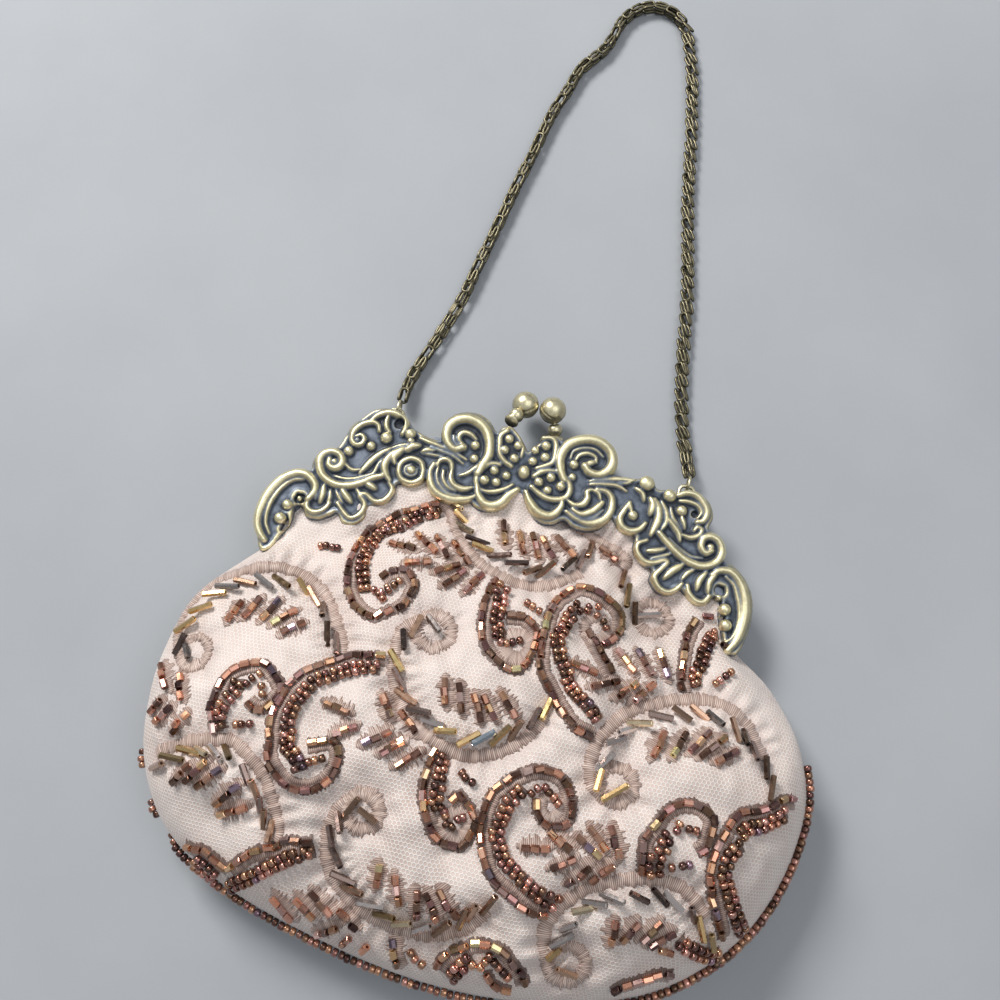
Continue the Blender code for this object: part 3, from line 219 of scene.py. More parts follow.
BUGLES = (
    (410.4, 638.9, 423.8, 617.5, "b"), (426.8, 619.3, 440.7, 635, "s"), (406.4, 653.2, 405, 630, "d"),
    (393.4, 649.6, 405, 670.2, "g"), (394.3, 667.5, 406.8, 688, "d"), (396.4, 689.3, 418.4, 703.2, "b"),
    (408.6, 707.7, 433.6, 714.3, "d"), (420.7, 719.3, 445.2, 724.3, "s"), (435.4, 730.4, 460.7, 732.1, "g"),
    (454.1, 742.9, 478.6, 730.4, "g"), (470.2, 744.6, 491.6, 729.6, "u"), (489.3, 743.9, 508.9, 724.3, "g"),
    (508.9, 738.6, 523.2, 717.1, "b"), (523.8, 730.4, 538.6, 708.6, "d"), (538.6, 721.4, 549.6, 698.8, "g"),
    (449.3, 501.1, 465.4, 513.9, "p"), (453.2, 510.7, 470.2, 524.6, "g"), (455.9, 522.9, 475.5, 536.2, "p"),
    (464.3, 539.8, 488, 544.6, "d"), (472.5, 547, 494.3, 551.4, "g"), (488.6, 557.1, 513.9, 559.5, "d"),
    (502.9, 564.8, 527.9, 566.1, "d"), (519.3, 574.6, 541.1, 566.6, "b"), (538, 577.3, 557.7, 563.6, "b"),
    (558.6, 572.9, 573.8, 556.8, "d"), (575, 568.4, 583.6, 550.5, "d"), (585.7, 563.9, 594.3, 542.5, "b"),
    (613.9, 594.3, 626.4, 571.1, "b"), (622.5, 611.2, 626.1, 585.4, "g"), (631.4, 625.5, 631.4, 601.4, "b"),
    (635.4, 617.1, 660.4, 617.1, "s"), (177.4, 655.6, 189.7, 634, "d"), (191.6, 658.9, 189.7, 644.2, "s"),
    (179.4, 634, 198.9, 621.6, "g"), (193.1, 616.2, 214.2, 607.2, "g"), (205.6, 600.9, 227.6, 596.7, "g"),
    (218, 590.6, 241.9, 590.6, "s"), (236.6, 582.4, 258.2, 588.5, "b"), (257.2, 578, 275.4, 589.1, "s"),
    (273.5, 578.5, 294.5, 591, "g"), (296.8, 579.5, 307, 600.9, "g"), (308.3, 589.1, 317.9, 611.6, "b"),
    (324.2, 603.4, 323.2, 626.4, "b"), (326.7, 622.5, 325.2, 646.8, "b"), (334.7, 635, 335.7, 658.9, "d"),
    (151.5, 765.5, 173.1, 766.3, "b"), (163.1, 758.4, 187.2, 760, "g"), (180.5, 749.7, 202.9, 758.9, "g"),
    (195.9, 748.4, 213.7, 758, "p"), (210.9, 744.8, 225.3, 760.5, "s"), (222.5, 745.6, 236.9, 763.8, "g"),
    (240.7, 763.8, 247.7, 784.6, "d"), (250.2, 776.3, 255.1, 797.8, "b"), (260.1, 792.9, 259, 811.1, "d"),
    (263.9, 805.3, 261.8, 828.5, "b"), (270.1, 820.2, 266.7, 843.4, "b"), (612.1, 735.4, 636.8, 730.4, "s"),
    (629.1, 722.9, 654.1, 726.1, "p"), (647, 716.6, 672.9, 722.5, "d"), (669.3, 711.2, 690.7, 722.9, "b"),
    (686.8, 708.6, 708.2, 722.9, "b"), (707.1, 712.5, 725, 731.8, "s"), (726.8, 717.5, 735.7, 742.5, "b"),
    (739.8, 730, 746.4, 753.2, "d"), (751.4, 741.6, 754.1, 769.3, "d"), (763, 756.8, 760.7, 782.7, "b"),
    (771.4, 776.4, 765.7, 803.2, "b"), (601.8, 747, 626.1, 740.7, "s"), (592.9, 767.9, 613, 752.3, "s"),
    (596.1, 794.3, 603.2, 770.7, "g"), (600, 797, 628.6, 782.7, "g"), (547.5, 957.9, 560.5, 944.8, "g"),
    (548.6, 942.1, 571.8, 931.1, "s"), (558.8, 928.2, 581.4, 918.6, "s"), (570, 911.8, 595.7, 910.4, "p"),
    (583.8, 901.1, 609.6, 903.8, "s"), (600.7, 893.6, 627.5, 902, "s"), (624.8, 890.4, 647.1, 903.8, "d"),
    (645.4, 888.6, 667.7, 904.6, "d"), (663.2, 893, 681.1, 911.8, "s"), (685, 901.1, 693.9, 923.4, "d"),
    (697.1, 915.4, 701.6, 941.2, "g"), (707, 927.9, 710.5, 950.2, "g"), (553.4, 960.9, 576.6, 972.5, "b"),
    (345, 818.6, 362, 797.1, "b"), (359.6, 806.6, 376.8, 821.4, "b"), (338.8, 812, 341.8, 837, "d"),
    (331.1, 825.4, 337.5, 847.7, "d"), (327.1, 845, 346.8, 866.4, "d"), (331.6, 868.2, 355.7, 879.8, "d"),
    (342.3, 883.4, 368.6, 894.1, "b"), (357.1, 896.8, 383.4, 903.9, "s"), (375, 910.2, 400.7, 914.6, "g"),
    (392.3, 922.7, 417.9, 917.3, "p"), (412.9, 928.9, 437, 919.1, "s"), (432.1, 932.5, 452.5, 916.4, "b"),
    (454.8, 926.2, 466.4, 904.8, "b"), (466.1, 919.1, 481.6, 896.8, "b"), (481.6, 912.9, 500.4, 891.4, "b"),
)
SPRAYS = (
    (444.6, 678.2, 445.2, 706.4, 3), (458, 683.6, 462.1, 714.3, 3), (473.8, 693.9, 480, 722.5, 3),
    (483.9, 695.2, 496.1, 721.1, 3), (500, 692.1, 514.8, 718.4, 3), (501.4, 522.9, 505.9, 547.5, 2),
    (519.3, 533.6, 525, 557.1, 2), (532.1, 535.7, 539.3, 560.4, 3), (541.6, 539.8, 552.3, 560.4, 3),
    (554.1, 538, 573.8, 558.6, 3), (416.6, 535.7, 435.4, 555, 3), (436.8, 538, 447.5, 559.5, 3),
    (452.9, 544.6, 467.9, 566.1, 3), (390.4, 544.6, 415.7, 551.4, 3), (434.5, 573.8, 459.5, 565.4, 3),
    (442.5, 587.1, 465.7, 572, 3), (464.8, 594.3, 483.2, 575.5, 3), (569.3, 663, 597, 675.5, 3),
    (589.8, 688, 617.5, 681.8, 3), (380.9, 696.1, 389.8, 718.4, 3), (399.6, 712.1, 416.6, 735.4, 3),
    (383.6, 751.4, 405, 740.7, 3), (404.1, 564.8, 430, 563.6, 3), (597.5, 547.9, 618.4, 563.9, 3),
    (615.7, 651.4, 634.5, 674.6, 3), (635.7, 651.1, 651.4, 678.2, 3), (656.8, 651.1, 667.5, 680, 3),
    (614.8, 698.8, 635.4, 683.6, 3), (630.9, 703.2, 653.2, 683.6, 3), (652.3, 759.1, 664.8, 733.2, 3),
    (672, 758.6, 685.4, 733.6, 3), (689.3, 754.1, 710.4, 732.7, 3), (699.3, 758.6, 725, 738, 3),
    (714.3, 763, 736.8, 751.8, 3), (701.4, 616.6, 713, 618.4, 1), (717.5, 645.7, 728.2, 649.3, 1),
    (576.6, 837.7, 598.9, 858.2, 3), (588.2, 827, 606.1, 852, 3), (611.4, 826.1, 617.7, 858.2, 3),
    (550.7, 868.9, 575.7, 858.2, 3), (566.8, 883.2, 591.8, 865.4, 3), (590, 879.6, 614.1, 863.6, 3),
    (550.7, 832.3, 570.4, 852, 3), (610.5, 943.9, 615.9, 919.8, 3), (620.4, 941.2, 638.2, 921.6, 3),
    (640, 940.4, 661.4, 921.6, 3), (647.1, 945.7, 673, 931.4, 3), (657, 946.6, 672.5, 951.1, 2),
    (228.2, 622, 242.9, 603.4, 3), (241.9, 619.3, 263, 598.2, 3), (261.6, 622, 282.1, 600.5, 3),
    (271.2, 626.4, 298.4, 611.6, 3), (281.1, 635.4, 305.1, 623.9, 3), (163.5, 664.1, 168.3, 689.5, 3),
    (179.4, 675.2, 183.6, 700, 3), (153, 713.4, 164.4, 700, 2), (158.3, 723.9, 174.4, 706.7, 3),
    (173, 732.6, 188.4, 713.4, 3), (325.2, 702.9, 350, 713.4, 3), (380.6, 694.3, 389.8, 719.2, 3),
    (332.8, 735.4, 357.7, 726.8, 3), (174.7, 782.9, 191.3, 764.7, 3), (186.3, 781.2, 209.5, 761.4, 3),
    (197.9, 786.2, 222.8, 768.8, 3), (216.2, 803.6, 241, 784.6, 3), (219.5, 814.4, 247.7, 806.1, 3),
    (273.4, 894, 294.1, 918.9, 3), (295.8, 895.7, 315.7, 917.2, 3), (311.5, 890.7, 333.1, 915.6, 3),
    (337.2, 907.3, 356.3, 927.2, 3), (316.5, 932.1, 338.9, 925.5, 3), (343, 942.1, 352.1, 933.8, 2),
    (361.3, 948.7, 370.4, 942.1, 1), (376.8, 887.9, 380.7, 862.9, 3), (400.4, 903.9, 395.9, 873.9, 3),
    (416.4, 916.4, 416.4, 888.8, 3), (425.4, 891.4, 438.8, 918.2, 4), (437.9, 889.6, 455.7, 915.5, 3),
    (362, 745.9, 390.5, 731.6, 3), (379.8, 754.8, 404.8, 742.3, 3), (395, 768.2, 421.8, 752.1, 3),
    (521.8, 848.2, 549.5, 848.9, 3), (550.4, 832.5, 570.9, 851.2, 3), (394.1, 937, 398.6, 964.6, 3),
)
TUBE_LINES = {
    "centre_curl": (496.1, 580, 488.9, 594.3, 484.5, 605, 482.1, 615.7, 481.4, 628.2, 482.7, 640.7, 487.1, 651.4,
        496.1, 661.2, 508.6, 669.3, 519.3, 670.2, 528.2, 661.2, 532.7, 652.3, 536.2, 642.5, 538, 633.6, 532.7, 624.6,
        524.6, 617.5, 514.8, 615.7, 505.9, 615.7),
    "centre_sweep": (612.1, 674.6, 607.7, 665.7, 600.5, 654.1, 593.4, 640.7, 587.1, 630),
    "centre_sweep_close": (600.5, 647, 612.1, 639.8, 620.2, 630, 620.2, 615.7, 613.9, 605, 603.2, 596.1, 592.5, 590.7,
        580, 588.9, 569.3, 592.5, 558.6, 599.6, 551.4, 608.6, 547, 621.1, 545.2, 631.8, 541.6, 646.1, 539.8, 660.4,
        542.5, 674.6, 548.8, 687.1, 555.9, 701.4, 563.9, 713.9, 572.9, 726.4, 581.8, 731.8, 592.5, 737.1),
    "lower_curl": (437.9, 749.5, 431.6, 760.2, 427.1, 771.8, 423.6, 782.5, 422.1, 795, 423.6, 809.3, 427.1, 821.8,
        430.7, 832.5, 436.1, 839.6, 446.8, 844.1, 457.5, 846.8, 463.8, 845, 469.1, 837.9, 473.6, 828.9, 475.4, 820,
        471.8, 809.3, 465.5, 800.4, 458.4, 794.1, 449.5, 801.2),
    "lower_sweep": (537, 798.6, 537, 811.1, 543.2, 821.8, 550.4, 827.1, 561.1, 827.1, 569.1, 821.8, 571.8, 811.1,
        571.8, 798.6, 568.2, 786.1, 560.2, 775.4, 550.4, 770.9, 537, 769.1, 523.6, 772.7, 512.9, 777.1, 502.1, 784.3,
        492.3, 793.2, 486.1, 805.7, 482.5, 820, 480.7, 834.3, 482.5, 848.6, 485.2, 862.9, 489.6, 875.4, 498.6, 886.1,
        509.3, 895, 521.8, 905.7, 534.3, 912.9, 546.8, 915.5),
    "left_curl": (213.2, 732.6, 212.3, 721.1, 211.3, 707.7, 216.1, 694.3, 223.8, 679, 235.2, 669.4, 248.6, 664.6, 262,
        663.7, 270.6, 668.5, 276.4, 677.1, 282.1, 686.6, 279.2, 696.2, 271.6, 703.9, 262, 710.5, 252.4, 707.7, 246.7,
        701.9),
    "left_sweep": (385.4, 656, 367.2, 656, 351.9, 656, 336.6, 660.8, 321.3, 665.6, 306, 671.3, 292.6, 682.8, 285,
        692.4, 277.3, 703.9, 271.6, 717.2, 269.7, 730.6, 270.1, 738.1, 268.4, 749.7, 270.1, 761.4, 275, 771.3, 283.3,
        781.2, 294.1, 787.9, 307.4, 789.5, 319, 786.2, 328.9, 779.6, 335.6, 769.6, 339.7, 756.4, 338, 746.4, 330.6,
        740.6, 317.3, 742.3, 307.4, 743.9),
    "upper_sweep": (438.9, 505, 427.3, 505.9, 417.5, 509.5, 406.8, 512.1, 396.1, 515.7, 387.1, 521.1, 373, 528.8,
        363.4, 539.3, 355.8, 550.8, 350, 564.2, 348.1, 577.6, 349.1, 592.9, 355.8, 606.3, 367.2, 615.8, 376.8, 618.7,
        380, 616.6, 390.7, 612.1, 403.2, 606.8, 409.5, 597.9, 414.8, 587.1, 412.1, 578.2, 406.8, 571.1, 399.6, 571.1,
        390.7, 572.9, 381.8, 578.2),
    "right_stem": (697, 618.4, 688.9, 631.8, 684.5, 646.1, 681.8, 663.9, 680.9, 680, 682.7, 692.5),
    "right_curl": (640.9, 874.3, 641.8, 860, 642.7, 847.5, 645.4, 836.8, 654.3, 826.1, 661.4, 815.4, 672.1, 806.4,
        682.9, 802.9, 695.4, 803.8, 706.1, 810, 713.2, 818.9, 711.4, 831.4, 707.9, 840.4, 705.2, 849.3, 697.1, 853.8),
    "right_sweep": (793.6, 799.3, 781.1, 800.2, 770.4, 806.4, 757.9, 810, 741.8, 812.7, 732.9, 818.9, 725.7, 831.4,
        720.4, 840.4, 715.9, 849.3, 711.4, 863.6, 709.6, 877.9, 711.4, 892.1, 715, 908.2, 718.6, 924.3, 721.2, 938.6),
    "bottom_left_sweep": (313.2, 840.9, 302.4, 840.9, 287.5, 840.9, 275.9, 845.9, 264.3, 848.4, 252.7, 851.7, 244.4,
        856.7, 236.1, 862.5, 228.6, 867.5),
    "bottom_left_stem": (186.3, 844.3, 194.6, 847.6, 204.6, 849.2, 212.9, 855.9, 221.1, 862.5, 227.8, 867.5),
    "bottom_curl": (436.1, 967.3, 443.2, 957.5, 452.1, 951.2, 461.1, 947.7, 471.8, 943.2, 486.1, 943.2, 498.6, 946.8,
        507.5, 953.9, 514.6, 964.6, 521.8, 973.6, 525.4, 984.3),
    "bottom_curl_end": (487.9, 970, 489.6, 977.1, 498.6, 986.1, 511.1, 989.6),
    "bottom_right_stem": (611.4, 990.4, 620.4, 985, 634.6, 980.5, 647.1, 976.1, 661.4, 972.5, 672.1, 974.3),
}
SEED_LINES = {
    "centre_curl": (505, 585.4, 500.5, 594.3, 499.6, 603.2, 497.9, 613.9, 496.1, 622.9, 497.9, 631.8, 496.1, 640.7),
    "centre_sweep": (580, 605.9, 572.9, 613, 565.7, 621.1, 562.1, 631.8, 555.9, 638.9, 558.6, 649.6, 560.4, 660.4,
        565.7, 671.1, 567.5, 681.8, 574.6, 692.5, 583.6, 701.4, 590.7, 710.4, 597.9, 721.1),
    "upper": (440.7, 513.9, 431.8, 513.9, 422.9, 516.6, 412.1, 521.1, 403.2, 526.4, 394.3, 529.1, 387.1, 531.8, 386.4,
        532.6, 376.8, 539.3, 369.2, 550.8, 363.4, 562.3, 362.5, 573.8, 365.3, 585.2, 365.3, 592.9),
    "left_curl": (239.1, 679, 237.5, 686.6, 235.2, 693.3, 227.6, 700, 222.8, 709.6, 220.9, 721.1, 222.2, 729.7),
    "left_sweep": (380.6, 668.5, 369.2, 668.5, 355.8, 669.4, 344.3, 672.3, 330.9, 677.1, 317.5, 680.9, 307.9, 690.5,
        298.4, 700, 292.6, 709.6, 288.8, 721.1, 288.8, 734.5, 286.9, 747.9, 294.5, 755.5, 298.4, 765.1, 300.3, 771.8),
    "right_stem": (717.5, 635.4, 710.4, 638, 707.1, 646.1, 703.2, 655, 701.4, 665.7, 696.1, 672.9, 694.3, 681.8,
        696.1, 688),
    "right_curl": (668.6, 833.2, 664.1, 840.4, 661.4, 849.3, 656.1, 854.6, 654.3, 861.8, 654.3, 876.1),
    "right_sweep": (786.4, 811.8, 770.4, 820.7, 757.9, 827, 747.1, 828.8, 738.2, 836.8),
    "right_sweep_low": (741.8, 844.8, 732.9, 850.2, 727.5, 856.4, 724.8, 865.4, 723, 876.1, 727.5, 888.6, 729.6,
        899.3, 732.9, 910, 736.4, 920.7, 740.9, 931.4),
    "right_low": (678.4, 938.6, 684.6, 944.8, 693.6, 949.3, 700.7, 952.9, 709.6, 954.6, 718.6, 952.9),
    "bottom_left": (315.7, 850.1, 304.1, 852.6, 294.1, 855.9, 284.2, 859.2, 274.2, 864.2, 264.3, 868.3, 256, 873.3,
        247.7, 877.4, 239.4, 880.7, 229.4, 884.9),
    "bottom_left_stem": (194.6, 854.2, 202.9, 861.7, 211.2, 869.1, 217.8, 876.6),
    "lower_curl": (445.9, 753.9, 441.4, 762.9, 439.6, 773.6, 438.8, 782.5, 438.2, 791.4, 436.1, 800.4, 437.9, 811.1),
    "lower_sweep": (523.6, 787, 517.3, 794.1, 509.3, 802.1, 503.9, 812.9, 498.6, 825.4, 495.9, 836.1, 499.5, 846.8,
        502.1, 857.5, 507.5, 864.6, 514.6, 871.8, 521.8, 879.8, 532.5, 888.8, 543.2, 895.9, 557.5, 903.9),
    "bottom": (448.6, 977.1, 457.5, 968.2, 467.3, 961.1, 472.7, 957.5),
}
SINGLE_SEED_LINES = {
    "centre_curl_tail": (496.1, 641.6, 503.2, 646.1, 508.6, 645.2, 514.8, 644.3, 522.9, 641.6),
    "centre_sweep_top": (583.6, 613.9, 588, 608.6, 593.4, 605.9, 599.3, 607.1),
    "centre_sweep_tail": (594.3, 613.9, 598.8, 618.4, 602.3, 622.9, 605, 632.7),
    "upper_tail": (373, 589.1, 378.7, 594.8, 386.4, 602.4),
    "upper_inner": (386.4, 593.8, 392.1, 590, 380, 596.1, 385.4, 591.6, 390.7, 588, 396.1, 585.4, 403.2, 580),
    "left_curl_inner": (263.9, 673.2, 257.2, 677.1, 250.5, 682.8, 245.8, 688.5),
    "left_curl_tail": (262, 682.8, 262, 690.5, 263.9, 699.1),
    "left_sweep_tail": (305.1, 763.2, 311.8, 761.2, 318.5, 760.3, 325.2, 758.4),
    "right_curl_top": (680.2, 820.7, 676.6, 827.9, 674.3, 835),
    "right_curl_inner": (685, 827.5, 691.8, 828.8, 699.3, 832.3),
    "lower_curl_tail": (443.2, 805.7, 445, 814.6, 445.9, 822.7, 451.2, 827.1, 455.7, 821.8, 461.1, 818.2, 467.3,
        817.9),
    "lower_sweep_top": (528.9, 794.1, 534.3, 789.6, 540.5, 787, 547.7, 792.3, 553.6, 799.5, 559.3, 806.1),
    "bottom_inner": (478, 966.4, 484.3, 961.1, 490.5, 954.3, 496.8, 962.9, 503.9, 970, 511.1, 977.1),
    "seeds_centre": (522.9, 602.3, 529.1, 606.8, 535.4, 610.4, 542.1, 614.3),
    "seeds_upper_left": (319, 548.5, 326.1, 547.9, 333.2, 549.8, 340.8, 550.8),
    "seeds_left": (233.3, 723.9, 240.6, 723.4, 247.5, 723.9, 254.4, 724.5),
    "seeds_lower": (457.1, 770.9, 462.9, 776.2, 468.6, 781.1, 475.7, 786.1),
    "seeds_bottom": (407.5, 948.6, 413.2, 953.9, 418.8, 959.3, 425.7, 965),
    "seeds_right": (712.1, 684.8, 718.9, 681.1, 725.5, 676.8, 732.1, 672.5),
    "seeds_right_low": (668.6, 867.1, 677.1, 865.7, 684.3, 863.6, 691.8, 862.7),
}

# The cast plate's outline, in shares of the frame's half width across and of the arch's rise up from the hinge line.
RELIEF_X = (-83, 83)
RELIEF_Y = (25.5, 91.5)
PLATE_ROUNDING = 0.8
PLATE_INNER = (
    0, 0.845, 0.025, 0.89, 0.055, 0.935, 0.095, 0.97, 0.13, 0.95, 0.145, 0.92, 0.18, 0.97, 0.225, 1, 0.275, 1, 0.325,
    0.975, 0.36, 0.925, 0.37, 0.87, 0.36, 0.81, 0.41, 0.805, 0.46, 0.825, 0.49, 0.845,
)
PLATE_RIGHT_TOP = (
    0.525, 0.83, 0.55, 0.79, 0.59, 0.8, 0.625, 0.785, 0.66, 0.815, 0.71, 0.815, 0.765, 0.775, 0.79, 0.7, 0.78, 0.625,
)
PLATE_LEFT_TOP = (
    0.505, 0.865, 0.54, 0.91, 0.6, 0.925, 0.66, 0.9, 0.705, 0.835, 0.74, 0.775, 0.755, 0.7, 0.775, 0.63,
)
PLATE_OUTER = (
    0.825, 0.6, 0.855, 0.535, 0.855, 0.475, 0.9, 0.46, 0.955, 0.4, 0.995, 0.305, 1.005, 0.19, 0.995, 0.09, 0.97, 0,
    0.94, -0.015, 0.91, 0.025, 0.89, 0.1, 0.87, 0.175, 0.87, 0.26, 0.845, 0.265, 0.82, 0.22, 0.77, 0.215, 0.725, 0.25,
    0.7, 0.27, 0.67, 0.225, 0.62, 0.225, 0.58, 0.28, 0.58, 0.34, 0.54, 0.36, 0.495, 0.42, 0.49, 0.5, 0.45, 0.51, 0.41,
    0.535, 0.38, 0.575, 0.355, 0.505, 0.3, 0.47, 0.24, 0.475, 0.2, 0.5, 0.16, 0.465, 0.11, 0.46, 0.07, 0.495, 0.03,
    0.555, 0, 0.6,
)
